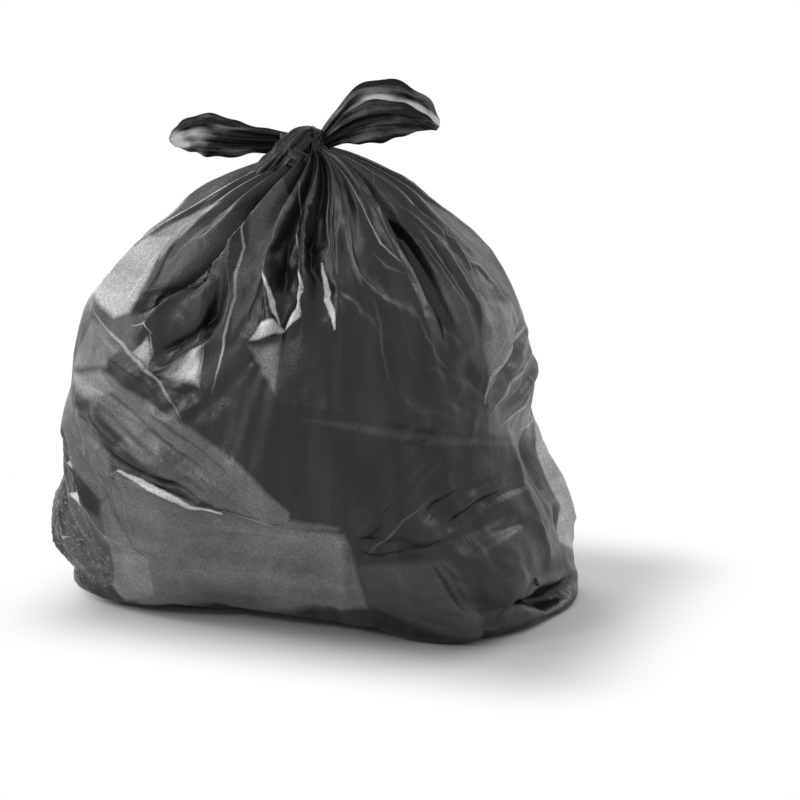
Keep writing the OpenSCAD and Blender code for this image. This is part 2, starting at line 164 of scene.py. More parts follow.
# Patches painted into the film's colour: painted highlights where it catches light, painted light
# shining through it, and painted shade where the share is below 0:
# share, softness of the edge in millimetres, corners of a convex outline
PATCHES = [
    # painted highlight on the plane of the left shoulder
    (0.6, 5, -154, 303, -135.5, 290, -131, 299, -137.5, 359, -140, 382, -148, 368),
    (0.34, 5, -147.5, 361, -135.5, 351, -136.5, 425, -143, 417),
    (0.04, 8, -131, 335, -130, 308, -99.5, 382, -120.5, 429, -127, 403, -129.5, 367),
    # strip below it on the left
    (0.17, 5, -153.5, 232, -129.5, 249, -125.5, 267, -138, 286, -143, 287),
    # ridge beside the deep valley
    (0.13, 5, -102, 463, -100.5, 419, -95.5, 370, -83, 358, -82, 437),
    (0.12, 4, -96, 375, -89, 285, -85, 314, -82, 344, -84.5, 373),
    # painted highlights on the ends of the blunt gathers
    (1, 2.5, -83.5, 285, -71.5, 294, -76, 303, -80, 302),
    # painted highlights and sheen on the grainy planes below them
    (0.2, 5, -84, 283, -72.5, 238, -72.5, 261, -73.5, 287),
    (0.42, 5, -113, 249, -98, 242, -98, 285, -105, 270),
    (1, 9, -111.5, 248, -97, 240, -99, 283, -101, 281),
    (0.5, 3, -123, 266, -115, 253, -119, 283),
    (0.34, 7, -153, 230, -137, 214, -123.5, 231, -133.5, 249),
    # band across the left side
    (0.17, 4, -153, 230, -101, 187, -100.5, 214, -133.5, 249),
    (0.17, 4, -106.5, 185, -78.5, 126, -70, 127, -69.5, 139, -82.5, 182, -102.5, 217),
    (0.14, 4, -137.5, 225, -129, 204, -92.5, 136, -76.5, 126, -102, 188),
    (0.12, 4, -78, 136, -72, 121, -57.5, 124, -56.5, 131),
    # painted shade in the hollow under the band
    (-0.55, 5, -133.5, 207, -131, 193, -123.5, 165, -107.5, 172, -125.5, 199),
    # left corner, with small painted glints
    (0.14, 4, -153, 205, -130, 125, -122.5, 156, -128, 189, -151, 220),
    (0.15, 4, -132.5, 89, -123, 66, -122, 164, -124.5, 158, -131, 126),
    (0.24, 4, -138.5, 40, -136.5, 25, -125, 35, -121, 77, -132.5, 100),
    (0.9, 2, -146.5, 122, -138, 115, -135.5, 134),
    (0.7, 1.5, -155, 75, -153, 70, -148, 79),
    (0.6, 1.5, -146, 151, -142.5, 146, -137.5, 165),
    # low panel on the front
    (0.165, 5, -134, 23, -98.5, 31, -89, 133, -122, 161, -125.5, 128),
    (0.165, 5, -108, 23, -53, 48, -56, 125, -91.5, 135),
    (0.08, 6, -155.5, 37, -136, 37, -128.5, 111, -148.5, 142),
    # plane right of the low panel
    (0.05, 5, -56.5, 96, -54, 50, -41.5, 31, -27.5, 23, -33.5, 102),
    # fan of folds on the right
    (0.1, 8, -56, 474, -55.5, 434, -51.5, 392, -45.5, 369, -41.5, 392, -45, 457),
    (0.06, 6, -22.5, 294, -16, 242, -12, 264, -17.5, 350, -20.5, 379),
    # right side
    (0.24, 7, -15.5, 274, -13.5, 229, 8.5, 283, 8.5, 305, -13, 325),
    (0.09, 5, -15.5, 197, 24, 157, 23, 177, 12, 296, -8, 273, -14.5, 237),
    # painted light along the right edge
    (0.56, 4, 15.5, 114, 30, 108, 31, 180, 24, 200),
    (0.5, 4, 8, 73, 27, 44, 31, 84, 31, 130, 17, 120),
]
# Lines of the same kind, mostly painted highlights along ridges and creases, and painted shade along
# creases where the share is below 0: share, softness, half breadth, points
STROKES = [
    (0.9, 2, 2.5, -136.25, 292, -136, 312, -139.25, 348, -140.5, 377),
    (0.75, 2, 2, -148.75, 305, -146, 332, -144.5, 361),
    (0.38, 1.5, 2, -145.5, 292, -127.25, 272, -114.25, 251, -101, 215),
    (0.3, 1.5, 1.5, -141.5, 277, -138.75, 259, -140.25, 243),
    (0.5, 1.5, 2, -104.5, 426, -95.75, 369, -90, 319, -91.25, 274, -93, 239),
    (0.4, 1.5, 2.2, -86.75, 466, -77.5, 426, -70.75, 358),
    (0.25, 1.5, 1.8, -58.75, 488, -60.5, 419, -60, 361),
    (1, 1.5, 3, -83.5, 353, -79, 328, -76.75, 312, -74.25, 299),
    (1, 1.5, 4.5, -70.75, 358, -66.75, 328, -68, 308, -71.75, 296),
    (1, 1.5, 3.5, -61, 360, -59.5, 339, -58.5, 310, -57.5, 297),
    (0.7, 1.5, 1.8, -127.75, 289, -121, 295, -117.75, 284),
    (0.5, 1.5, 1.6, -118.25, 283, -118, 268, -115.25, 253),
    (0.45, 1.5, 1.6, -97.5, 283, -98.5, 261, -98.5, 241),
    (-0.62, 2, 3, -134.75, 219, -124.75, 204, -113.25, 186, -106, 178),
    (-0.5, 2, 3.5, -113.5, 218, -103.75, 204, -93.5, 188),
    (-0.45, 2, 2, -109.75, 185, -96.25, 165, -84, 145),
    (-0.45, 2, 2, -98.25, 197, -89, 177, -78.75, 149),
    (-0.35, 2, 2, -140.75, 232, -130.25, 225, -112.25, 211),
    (0.3, 1.5, 1.6, -151.75, 211, -135.25, 181, -128.5, 138, -123.5, 69),
    (0.22, 1.5, 1.6, -151.75, 216, -128.75, 194, -122.25, 163),
    (-0.5, 2, 2, -144, 200, -131.25, 168, -127, 118, -123.5, 69),
    (-0.4, 2, 1.6, -121.25, 160, -123.5, 124, -123.75, 83),
    (-0.3, 3, 2.5, -120.5, 149, -112.25, 144, -91.25, 129, -70.5, 123),
    (0.24, 3, 2, -125.25, 51, -94.75, 55, -63.25, 65),
    (-0.2, 3, 2, -123.5, 69, -90.5, 79, -59.75, 87),
    (-0.2, 3, 2, -125, 40, -95, 41, -58.5, 57),
    (1, 1.5, 3.6, -122.25, 162, -112, 149, -100.5, 137, -90.75, 132),
    (0.35, 1.2, 1.4, -90.5, 134, -80.25, 129, -70, 125),
    (0.12, 1.5, 1.4, -54, 98, -47.75, 118, -42, 136, -34, 152),
    (0.14, 1.5, 1.6, -56, 101, -55.5, 76, -52.5, 52),
    (0.45, 1.4, 1.8, -41, 481, -40.75, 443, -38.5, 414, -37.25, 385, -32.75, 360),
    (0.25, 1.4, 1.4, -50.5, 420, -51, 379, -49.75, 357, -47.75, 344),
    (0.16, 4, 3, -41.25, 378, -38, 362, -33.25, 352),
    (0.5, 1.2, 1.4, -10.75, 471, -17.25, 460),
    (0.5, 1.2, 1.4, -17.75, 452, -17.75, 442),
    (0.45, 1.2, 1.3, -18, 435, -18, 423),
    (0.3, 1.8, 1.6, -16.25, 427, -11.25, 383, -13, 337, -13.25, 298, -8.75, 278),
    (0.24, 1.6, 1.6, -9.25, 384, 3.25, 347, 3.75, 311, 7, 302),
    (0.2, 2, 1.8, -18.75, 392, -18, 342, -17, 304, -14.25, 277),
    (0.09, 2.5, 2, -45.5, 327, -44.5, 306, -44.75, 282, -42.25, 247),
    (0.09, 2.5, 2, -34.75, 327, -32.5, 293, -28.75, 271, -26, 257),
    (0.14, 1.5, 1.4, 13.25, 343, 6.5, 317, 7.5, 305),
    (0.42, 2, 3.4, 12.25, 280, -3.25, 267, -13, 249, -15.5, 225),
    (0.42, 2, 3.2, 15.25, 251, -3.75, 237, -13.75, 213),
    (0.42, 2, 3, 13.25, 223, 6, 209, -9.25, 199),
    (0.45, 2, 2.6, 17.5, 314, 12, 286, 15.25, 251, 13.75, 213),
    (0.5, 1.8, 2.6, 15.5, 199, 22.5, 179, 4.75, 186),
    (0.045, 4, 5, -65.75, 223, -51, 217, -34.25, 203, -18, 192, 17, 163),
]
# Half breadth at a stroke's tip, as a share of the rest
STROKE_TIP = 0.35
# The same painted light and painted shade for the far side, which is guessed
BACK_PATCHES = [
    (0.05, 22, 56, 50, 110, 40, 150, 70, 140, 150, 90, 170, 58, 140),
    (0.04, 26, 66, 220, 130, 205, 152, 280, 112, 330, 74, 310),
    (0.08, 9, 64, 74, 72, 52, 104, 72, 152, 132, 140, 160, 96, 122),
    (0.07, 7, 100, 232, 108, 226, 136, 290, 134, 316, 120, 300),
    (0.3, 12, 24, 60, 40, 70, 44, 120, 40, 180, 24, 180),
]
BACK_STROKES = [
    (0.16, 2, 1.6, 58, 480, 66, 410, 63, 340),
    (0.14, 2, 1.6, 84, 486, 89, 420, 97, 330),
    (0.12, 2, 1.4, 98, 470, 102, 400, 112, 350),
    (0.16, 2, 1.8, 116, 480, 113, 400, 104, 316),
    (0.14, 2, 1.6, 137, 486, 133, 420, 142, 320),
    (0.12, 2, 1.4, 158, 476, 161, 400, 168, 322),
    (-0.4, 2, 2.5, 72, 66, 96, 92, 124, 124, 146, 148),
    (-0.35, 2, 2, 70, 58, 92, 76, 116, 98),
    (0.12, 2, 1.6, 60, 130, 84, 150, 112, 156, 138, 176),
    (0.12, 2, 1.6, 150, 96, 128, 108, 100, 104),
]
# Radius in millimetres at which the film is laid flat for its patterns, and one degree there
FLAT_RADIUS = 206
FLAT_DEGREE = radians(FLAT_RADIUS)
# Wander of the patches' edges in millimetres, and the scale and detail of its noise
PATCH_WANDER = 1.6
WANDER_NOISE = (60, 3)

# Where the film is crumpled small, which also places painted glints: strength, softness, points of
# (angle, low end, high end)
CRUMPLED_PANELS = [
    (1, 8, [(-176, 20, 150), (-160, 24, 160), (-148, 26, 150), (-139, 30, 116), (-134, 24, 60)]),
    (0.4, 8, [(-40, 10, 40), (-26, 8, 50), (-8, 8, 44), (14, 8, 30)]),
    (0.7, 4, [(-116, 250, 256), (-107, 246, 272), (-98, 241, 288)]),
    (0.7, 4, [(-125, 270, 275), (-119, 260, 288), (-116, 256, 264)]),
    (0.7, 4, [(-85, 282, 290), (-79, 268, 292), (-72, 242, 292)]),
    (0.35, 12, [(-8, 190, 320), (16, 160, 330), (34, 170, 320)]),
    (0.6, 10, [(100, 20, 90), (130, 20, 120), (160, 20, 100)]),
]

# Fine creases of the film: half breadth, height, points
FINE_CREASES = [
    (6, 2.2, -127, 160, -114, 148, -101, 139, -90, 133),
    (6, -2, -130, 152, -112, 141, -92, 128, -70, 122),
    (6, 1.8, -140, 150, -124, 136, -100, 122, -78, 116, -58, 112),
    (7, -2.4, -60, 105, -49, 102, -38, 109, -24, 119, -8, 130),
    (6, 2.2, -59, 108, -52, 124, -47, 140),
    (6, -1.8, -50, 118, -42, 142, -34, 172),
    (6, -2, -46, 122, -38, 150, -28, 186),
    (6, -2.6, -40, 128, -32, 144, -23, 153, -8, 160),
    (5, -2.2, -37, 118, -29, 131, -20, 140, -5, 148),
    (6, 1.8, -58, 128, -58, 98, -60, 66),
    (6, -2, -38, 110, -34, 71, -30, 46),
    (6, 2, 10, 296, -4, 266, -15, 244),
    (6, 2, 16, 284, 4, 258, -6, 236),
    (6, 2, 20, 268, 9, 244, -3, 220),
    (6, 2, 22, 246, 8, 226, -6, 204),
    (5, -1.8, 14, 292, 2, 264, -9, 240),
    (5, -1.8, 22, 256, 8, 236, -6, 212),
    (6, -1.8, -30, 290, -28, 262, -26, 236),
    (6, 1.6, -40, 320, -38, 280, -34, 240),
    (6, -1.6, -46, 300, -44, 260, -40, 226),
    (6, 1.4, -52, 330, -50, 290, -47, 250),
    (6, 1.8, -120, 280, -118, 262, -116, 248),
    (5, -1.8, -112, 300, -110, 276, -114, 256),
    (6, 2, -100, 284, -107, 262, -115, 249),
    (5, -1.8, -97, 244, -106, 244, -114, 250),
    (6, 2, -152, 300, -138, 276, -124, 258),
    (6, 2, -150, 252, -136, 240, -122, 234, -108, 214),
    (5, -2, -148, 240, -134, 226, -120, 210, -106, 192),
    (6, 2, -150, 226, -134, 206, -118, 184, -104, 172),
    (5, -2, -146, 214, -132, 194, -120, 174),
    (5, 2, -152, 172, -142, 140, -138, 100, -137, 60),
    (5, -2, -148, 178, -138, 150, -130, 116, -128, 70),
    (5, 2, -164, 150, -155, 112, -150, 70),
    (6, -2, -160, 128, -152, 96, -148, 56),
    (5, 1.8, -158, 92, -150, 64, -140, 40),
    (5, -1.8, -166, 96, -156, 60, -146, 36),
    (5, 1.8, -150, 46, -138, 52, -126, 40),
    (5, -2, -160, 44, -150, 34, -138, 26),
]

# Finer lines of slack film, where the front shows them best
SLACK_LINES = [
    (5, 2, -134.5, 238, -101.5, 206, -80, 166, -70, 137),
    (5, -2, -137, 230, -114.5, 201, -89, 163, -73, 132),
    (5, 2, -138, 219, -120.5, 197, -96, 160, -78, 131),
    (5, -1.8, -133.5, 210, -111.5, 182, -92, 142),
    (5, 1.8, -152.5, 203, -134, 173, -128.5, 130, -123.5, 65),
    (5, -1.8, -149, 188, -138, 150, -131, 102, -130.5, 54),
    (5, -2.4, -43, 152, -37.5, 169, -31, 187),
    (5, -2, -38, 152, -32.5, 166, -26.5, 180),
    (6, -3, -32, 122, -21.5, 139, -10.5, 142, 4, 143),
    (6, -3, -33, 105, -20, 115, -2.5, 116),
    (5, 2, -54, 98, -47.5, 118, -42, 136, -34, 152),
    (5, -2, -50.5, 129, -44, 149, -36, 169),
    (5, 2, -33.5, 102, -32.5, 73, -27.5, 23),
    (5, 2, -56.5, 99, -55.5, 76, -52.5, 52),
    (15, -24, -29, 23, -25.5, 31, -20.5, 43, -4.5, 25, 16.5, 42),
    (18, -8, -132.5, 298, -127, 320, -109.5, 337, -104.5, 354),
    (12, -6, -115, 252, -107, 274, -100, 294, -92, 314),
    (5, 2.2, -132, 305, -133, 330, -135, 358, -139.5, 385, -135.5, 422),
    (11, -7, -33, 473, -26.5, 435, -22.5, 397, -22, 338, -22.5, 300, -18, 261),
    (7, 3.5, -16, 427, -11.5, 383, -13, 337, -13, 298, -9, 278),
    (6, -3, -4, 411, -10, 370, -9.5, 324, -5.5, 293),
    (9, 2, -9.5, 384, 3, 347, 1.5, 314),
    (5, 1.6, -36.5, 418, -33, 375, -32, 307, -29.5, 254),
    (5, -1.8, -51, 363, -44.5, 299, -41.5, 247),
    (5, 1.8, -45, 325, -44, 291, -41.5, 238),
    (6, 2.4, 12.5, 280, -3, 267, -13, 249, -15.5, 225),
    (6, -2.4, 13, 266, -4, 252, -14, 226),
    (6, 2.4, 15, 251, -3.5, 237, -13.5, 213),
    (6, -2.4, 12, 237, 0, 223, -11, 206),
    (6, 2.4, 13, 223, 6, 209, -9, 199),
]

# Ears along their middle line: distance out, height, half width, distance forward, roll
LEFT_EAR = [
    (-10, 426, 5.5, 0, 20), (-24, 426.5, 8, 2, 14), (-42, 427, 10.5, 4, 8), (-57, 428, 13, 5, 4),
    (-73, 428.5, 17, 5, 0), (-89, 430.5, 20.5, 5, -4), (-105, 431.5, 19.5, 3, -8),
    (-118, 430, 15.5, 0, -10), (-128, 427.5, 11, -3, -8), (-135, 425.5, 6, -4, -6),
    (-138, 424.5, 2, -5, -6),
]
RIGHT_EAR_BACK = [
    (0, 422.5, 5, 0, 20), (9, 434.5, 5.5, -1, 14), (22, 448, 8.5, -2, 8), (34.5, 458.5, 13, -4, 4),
    (49, 463.5, 19, -6, 0), (65, 463.5, 20, -7, -3), (81.5, 459.5, 16.5, -8, -6),
    (95.5, 453.5, 13.5, -7, -10),
    (105, 446.5, 8, -5, -12), (109.5, 441.5, 4, -4, -12), (111, 440, 2, -3, -12),
]
RIGHT_EAR_FRONT = [
    (0, 421.5, 5, 0, 0), (10.5, 428, 7, 2, -4), (23, 435, 11, 5, -8), (38.5, 442, 16.5, 9, -10),
    (59, 447.5, 18.5, 11, -8), (79, 449, 15, 11, -4), (96, 447, 9.5, 8, 0), (106.5, 443, 4.5, 4, 0),
    (111.5, 440.5, 2, 2, 0),
]
# Where an ear is thin, see-through and painted paler as light shining through: share along, share
# across, half breadths along and across, thinness
LEFT_EAR_THIN = [
    (0.48, -0.4, 0.1, 0.3, 0.8), (0.66, -0.1, 0.12, 0.6, 1), (0.85, 0.1, 0.2, 0.9, 1.2),
]
RIGHT_EAR_BACK_THIN = [
    (0.45, 0.05, 0.15, 0.4, 0.9), (0.66, 0, 0.16, 0.5, 1.2), (0.88, 0.1, 0.18, 0.9, 1.3),
]
RIGHT_EAR_FRONT_THIN = [(0.45, -0.35, 0.15, 0.3, 0.1), (0.95, -0.2, 0.08, 0.4, 0.5)]
EAR_TURN = 14
EAR_THICKNESS = 7
EAR_PLEAT_HEIGHT = 3

# Knot strands: x, y, height, half width, half thickness
KNOT_WRAP = [
    (-66, -30, 370, 10, 6), (-48, -27, 388, 11, 7), (-35, -25, 402, 12, 8),
    (-24, -23, 413, 12.5, 10),
    (-14, -17, 424, 11.5, 10), (-8, -8, 432, 9.5, 8), (-7, 3, 432, 8.5, 7), (-8, 11, 425, 8.5, 7),
    (-8, 12, 410, 8.5, 7),
]
KNOT_BAND = [
    (-31, 0, 427, 8, 7), (-27, -13, 423.5, 9.5, 8), (-18, -22, 417, 10.5, 8),
    (-7, -24, 409.5, 10.5, 8),
    (1, -17, 407, 9.5, 8), (4, -3, 411, 8.5, 7), (0, 10, 418, 8.5, 7), (-11, 14, 423.5, 8.5, 7),
    (-24, 9, 427, 8, 7),
]
KNOT_RISE = [
    (9, -24, 388, 7.5, 6), (6, -18, 403, 7.5, 7), (2, -10, 417, 6.5, 7), (1, -4, 429, 6.5, 6),
    (5, -3, 438, 6.5, 5),
]
KNOT_CORE = (-13, -5, 418.5)
KNOT_CORE_HALF = (14.5, 14, 17)

# Folds are at full height where the sack is this wide, and shrink with it up to the throat
FULL_FOLD_RADIUS = 150
LEAST_FOLD_SHARE = 0.07
FOOT_FADE = 20
# How soon a fold reaches its full height from an end, where 1 would take its whole length
GATHER_FADE = 2.5
BLUNT_FADE = 7
CREASE_FADE = 3
FINE_FADE = 4
# Sharpness of a fold's section
FOLD_POWER = 1.5
FINE_POWER = 1.3

# Folds of the far side: what differs from one to the next is (least, spread)
BACK_GATHER_COUNT = 15
BACK_GATHER_FROM = 42
BACK_GATHER_STEP = 9.6
BACK_GATHER_TOP = 520
BACK_GATHER_BEND = 440
BACK_GATHER_LOW = (290, 90)
BACK_GATHER_DRIFT = 14
DRIFT_AT_BEND = 0.3
BACK_GATHER_BREADTH = (24, 10)
BACK_GATHER_RISE = (10, 6)
BACK_CREASE_COUNT = 16
BACK_CREASE_FROM = 36
BACK_CREASE_STEP = 37
BACK_CREASE_SPAN = 140
BACK_CREASE_UP = (60, 170)
BACK_CREASE_BREADTH = (22, 10)
BACK_CREASE_RISE = (9, 5)
BACK_CREASE_RUN = [(-14, 34), (0, 0), (12, -22), (26, -30)]
SCATTER_STEPS = (12.9898, 78.233)
SCATTER_SIZE = 43758.5453


def scatter(i, k):
    """An even scatter of numbers from 0 to 1."""
    v = sin(i * SCATTER_STEPS[0] + k * SCATTER_STEPS[1]) * SCATTER_SIZE
    return v - np.floor(v)


def between(limits, i, k):
    return limits[0] + limits[1] * scatter(i, k)


def back_gathers():
    folds = []
    for i in range(BACK_GATHER_COUNT):
        a = BACK_GATHER_FROM + i * BACK_GATHER_STEP
        way = 1 if i % 2 == 0 else -1
        low = between(BACK_GATHER_LOW, i, 1)
        drift = BACK_GATHER_DRIFT * (scatter(i, 2) - 0.5)
        line = a, BACK_GATHER_TOP, a + drift * DRIFT_AT_BEND, BACK_GATHER_BEND, a + drift, low
        rise = way * between(BACK_GATHER_RISE, i, 4)
        folds.append((between(BACK_GATHER_BREADTH, i, 3), rise, *line))
    return folds


def back_creases():
    folds = []
    for i in range(BACK_CREASE_COUNT):
        a = BACK_CREASE_FROM + (i * BACK_CREASE_STEP) % BACK_CREASE_SPAN
        up = between(BACK_CREASE_UP, i, 5)
        lean = 1 if i % 3 == 0 else -1
        way = -1 if i % 2 == 0 else 1
        line = [place for x, y in BACK_CREASE_RUN for place in (a + lean * x, up + y)]
        rise = way * between(BACK_CREASE_RISE, i, 7)
        folds.append((between(BACK_CREASE_BREADTH, i, 6), rise, *line))
    return folds


def wrap(a):
    return (a + 180) % 360 - 180


def ease(x):
    k = np.clip(x, 0, 1)
    return k * k * (3 - 2 * k)


def along_curve(table, w):
    """Rows of a table between the listed ones, on a smooth curve through them."""
    table = np.asarray(table, float)
    last = len(table) - 1
    w = np.clip(w, 0, last)
    i = np.minimum(np.floor(w).astype(int), last - 1)
    f = (w - i)[..., None]
    p0 = table[np.maximum(i - 1, 0)]
    p1 = table[i]
    p2 = table[i + 1]
    p3 = table[np.minimum(i + 2, last)]
    bend = (2 * p0 - 5 * p1 + 4 * p2 - p3) * f ** 2 + (3 * p1 - p0 - 3 * p2 + p3) * f ** 3
    return 0.5 * (2 * p1 + (p2 - p0) * f + bend)


# Length up the side at even steps of the ring number
PROFILE_STEPS = 521
RING_STEPS = np.linspace(0, len(RINGS) - 1, PROFILE_STEPS)
PROFILE = along_curve(RINGS, RING_STEPS)
PROFILE_POINTS = np.stack([(PROFILE[:, 1] + PROFILE[:, 2]) / 2, PROFILE[:, 0]], -1)
PROFILE_LEGS = np.linalg.norm(np.diff(PROFILE_POINTS, axis=0), axis=1)
LENGTHS = np.concatenate([[0], np.cumsum(PROFILE_LEGS)])
SIDE_LENGTH = LENGTHS[-1]


def ring_at_length(s):
    return along_curve(RINGS, np.interp(s, LENGTHS, RING_STEPS))


def pairs(numbers):
    """Points of (angle, length up the side) from a plain run of numbers."""
    return list(zip(numbers[::2], numbers[1::2]))


def distance_to_fold(a, s, points):
    """Distance to a fold's line, and the share of the fold passed at the nearest point."""
    nearest = np.full(a.shape, np.inf)
    share = np.zeros(a.shape)
    legs = len(points) - 1
    for i in range(legs):
        p, q = points[i], points[i + 1]
        x = wrap(a - p[0]) * MM_PER_DEGREE
        y = s - p[1]
        u = (q[0] - p[0]) * MM_PER_DEGREE
        v = q[1] - p[1]
        t = np.clip((x * u + y * v) / (u * u + v * v), 0, 1)
        d = np.hypot(x - t * u, y - t * v)
        closer = d < nearest
        nearest = np.where(closer, d, nearest)
        share = np.where(closer, (i + t) / legs, share)
    return nearest, share


def add_folds(rise, a, s, folds, power, fade, both_ends=False):
    """Add folds that fade at their lower ends, or creases that fade at both ends."""
    for breadth, height, *line in folds:
        d, share = distance_to_fold(a, s, pairs(line))
        fold = height * np.clip(1 - d / breadth, 0, 1) ** power * ease((1 - share) * fade)
        rise += fold * ease(share * fade) if both_ends else fold


def film_rise(a, s):
    """Rise of the folded film over the plain body."""
    growth = ease((s - THROAT_PLEAT_FROM) / THROAT_PLEAT_GROWTH)
    rise = THROAT_PLEAT_HEIGHT * np.cos(np.radians(THROAT_PLEATS * a)) * growth
    add_folds(rise, a, s, GATHERS + back_gathers(), FOLD_POWER, GATHER_FADE)
    add_folds(rise, a, s, BLUNT_GATHERS, FOLD_POWER, BLUNT_FADE)
    add_folds(rise, a, s, CREASES + back_creases(), FOLD_POWER, CREASE_FADE, True)
    for angle, length, half_breadth, half_height, height in SWELLS:
        x = wrap(a - angle) * MM_PER_DEGREE / half_breadth
        y = (s - length) / half_height
        rise += height * np.exp(-x * x - y * y)
    return rise


COLUMNS = 300
ROWS = 170


def body_grid():
    """Lengths, points and outward directions of the folded body, rows from the ground up."""
    columns = np.linspace(0, 360, COLUMNS, endpoint=False)
    a, s = np.meshgrid(columns, np.linspace(0, SIDE_LENGTH, ROWS))
    ring = ring_at_length(s)
    above = ring_at_length(np.minimum(s + 1, SIDE_LENGTH))
    below = ring_at_length(np.maximum(s - 1, 0))
    run = (above[..., 1] + above[..., 2] - below[..., 1] - below[..., 2]) / 2
    climb = above[..., 0] - below[..., 0]
    slope = np.hypot(run, climb)
    out_r, out_z = climb / slope, -run / slope
    t = np.radians(a - ring[..., 6])
    n = ring[..., 3]
    sides = np.abs(np.cos(t) / ring[..., 1]) ** n + np.abs(np.sin(t) / ring[..., 2]) ** n
    radius = sides ** (-1 / n)
    mean = (ring[..., 1] + ring[..., 2]) / 2
    fold_share = np.clip(mean / FULL_FOLD_RADIUS, LEAST_FOLD_SHARE, 1)
    lift = film_rise(a, s) * fold_share * ease(s / FOOT_FADE)
    z = np.maximum(0, ring[..., 0] + out_z * lift)
    reach = radius + out_r * lift
    front = ease(1 - np.abs(wrap(a - FRONT_EDGE_ANGLE)) / FRONT_EDGE_SPREAD)
    under = front * np.clip(1 - z / FRONT_LIFT, 0, 1) * FRONT_TUCK
    c, d = np.cos(np.radians(a)), np.sin(np.radians(a))
    points = np.stack([ring[..., 4] + reach * c, ring[..., 5] + reach * d + under, z], -1)
    outward = np.stack([c * out_r, d * out_r, out_z], -1)
    return s, points * MM, outward


def loop_faces(rows, columns):
    """Walls of stacked loops, with a lid on each end."""
    faces = []
    for i in range(rows - 1):
        for j in range(columns):
            k = (j + 1) % columns
            low, up = i * columns, (i + 1) * columns
            faces.append((low + j, low + k, up + k, up + j))
    faces.append(tuple(reversed(range(columns))))
    faces.append(tuple((rows - 1) * columns + j for j in range(columns)))
    return faces


def new_object(name, points, faces, smooth=True):
    mesh = bpy.data.meshes.new(name)
    mesh.from_pydata(np.reshape(points, (-1, 3)).tolist(), [], faces)
    mesh.update()
    mesh.polygons.foreach_set("use_smooth", [smooth] * len(mesh.polygons))
    obj = bpy.data.objects.new(name, mesh)
    bpy.context.scene.collection.objects.link(obj)
    return obj


def loft(name, grid):
    return new_object(name, grid, loop_faces(grid.shape[0], grid.shape[1]))


def paint(obj, name, values):
    """Store one number for each point of a mesh."""
    layer = obj.data.attributes.new(name, "FLOAT", "POINT")
    layer.data.foreach_set("value", np.ravel(values).astype(np.float32))


def paint_places(obj, places):
    """Store the place of each point on the film laid flat, for patterns that follow the film."""
    layer = obj.data.attributes.new("unrolled", "FLOAT_VECTOR", "POINT")
    layer.data.foreach_set("vector", (places * MM).astype(np.float32).ravel())


# How the film settles over its contents, in metres
CLOTH_FRAMES = 22
CLOTH_SLACK = 0.025
CLOTH_VALUES = {
    "quality": 6, "mass": 0.05, "tension_stiffness": 30, "compression_stiffness": 30,
    "shear_stiffness": 10, "bending_stiffness": 0.006, "bending_damping": 0.5, "air_damping": 2,
    "shrink_min": -CLOTH_SLACK, "shrink_max": -CLOTH_SLACK,
    "use_pressure": True, "uniform_pressure_force": 0.22,
}
CLOTH_GRAVITY = 0.3
CLOTH_DISTANCE = 0.0015
CONTENTS_INSET = 0.006
CONTENTS_LOW = 0.002
CONTENTS_SKIN = 0.001
CONTENTS_FRICTION = 20
# Where the film is held fast, in millimetres from the throat and the foot
HELD_TOP = 110
HELD_TOP_FADE = 60
HELD_FOOT = 14
# What is kept of its moves
LARGEST_MOVE = 0.012
SMOOTHING_PASSES = 2
BROAD_PASSES = 120
BROAD_HELD = 0.85


def settle_film(film, contents, held):
    """Let slightly oversized film settle over the contents, and return its points."""
    contents.modifiers.new("stop", "COLLISION")
    contents.collision.thickness_outer = CONTENTS_SKIN
    contents.collision.cloth_friction = CONTENTS_FRICTION
    group = film.vertex_groups.new(name="held")
    for index, weight in enumerate(np.ravel(held)):
        if weight > 0:
            group.add([index], float(weight), "REPLACE")
    cloth = film.modifiers.new("cloth", "CLOTH")
    for name, value in CLOTH_VALUES.items():
        setattr(cloth.settings, name, value)
    cloth.settings.vertex_group_mass = group.name
    cloth.settings.effector_weights.gravity = CLOTH_GRAVITY
    cloth.collision_settings.distance_min = CLOTH_DISTANCE
    cloth.collision_settings.use_self_collision = False
    cloth.point_cache.frame_start = 1
    cloth.point_cache.frame_end = CLOTH_FRAMES
    for step in range(1, CLOTH_FRAMES + 1):
        bpy.context.scene.frame_set(step)
    settled = film.evaluated_get(bpy.context.evaluated_depsgraph_get())
    points = np.empty(len(film.data.vertices) * 3)
    settled.data.vertices.foreach_get("co", points)
    bpy.context.scene.frame_set(1)
    return points.reshape(-1, 3)


def smoothed(grid, passes):
    """Points of a grid drawn towards the ones beside them."""
    for _ in range(passes):
        beside = (np.roll(grid, 1, axis=1) + np.roll(grid, -1, axis=1)) / 2
        above = np.concatenate([grid[1:], grid[-1:]])
        below = np.concatenate([grid[:1], grid[:-1]])
        grid = (2 * grid + beside + (above + below) / 2) / 4
    return grid


def shorten_moves(start, end):
    """Smooth the moves of a grid's points a little, hold back the broad ones, and cap the rest."""
    move = smoothed(end - start, SMOOTHING_PASSES)
    move -= BROAD_HELD * smoothed(move, BROAD_PASSES)
    size = np.linalg.norm(move, axis=-1, keepdims=True)
    return start + move * LARGEST_MOVE / np.maximum(size, LARGEST_MOVE)


def settled_body():
    """The folded body as a coarse grid, settled over its contents."""
    s, points, outward = body_grid()
    film = loft("film", points)
    inner = points - outward * CONTENTS_INSET
    inner[..., 2] = np.maximum(inner[..., 2], CONTENTS_LOW)
    contents = loft("contents", inner)
    held_top = ease((s - SIDE_LENGTH + HELD_TOP) / HELD_TOP_FADE)
    held = np.maximum(held_top, np.clip(1 - s / HELD_FOOT, 0, 1))
    settled = settle_film(film, contents, held)
    bpy.data.objects.remove(contents)
    bpy.data.objects.remove(film)
    return shorten_moves(points, settled.reshape(points.shape))


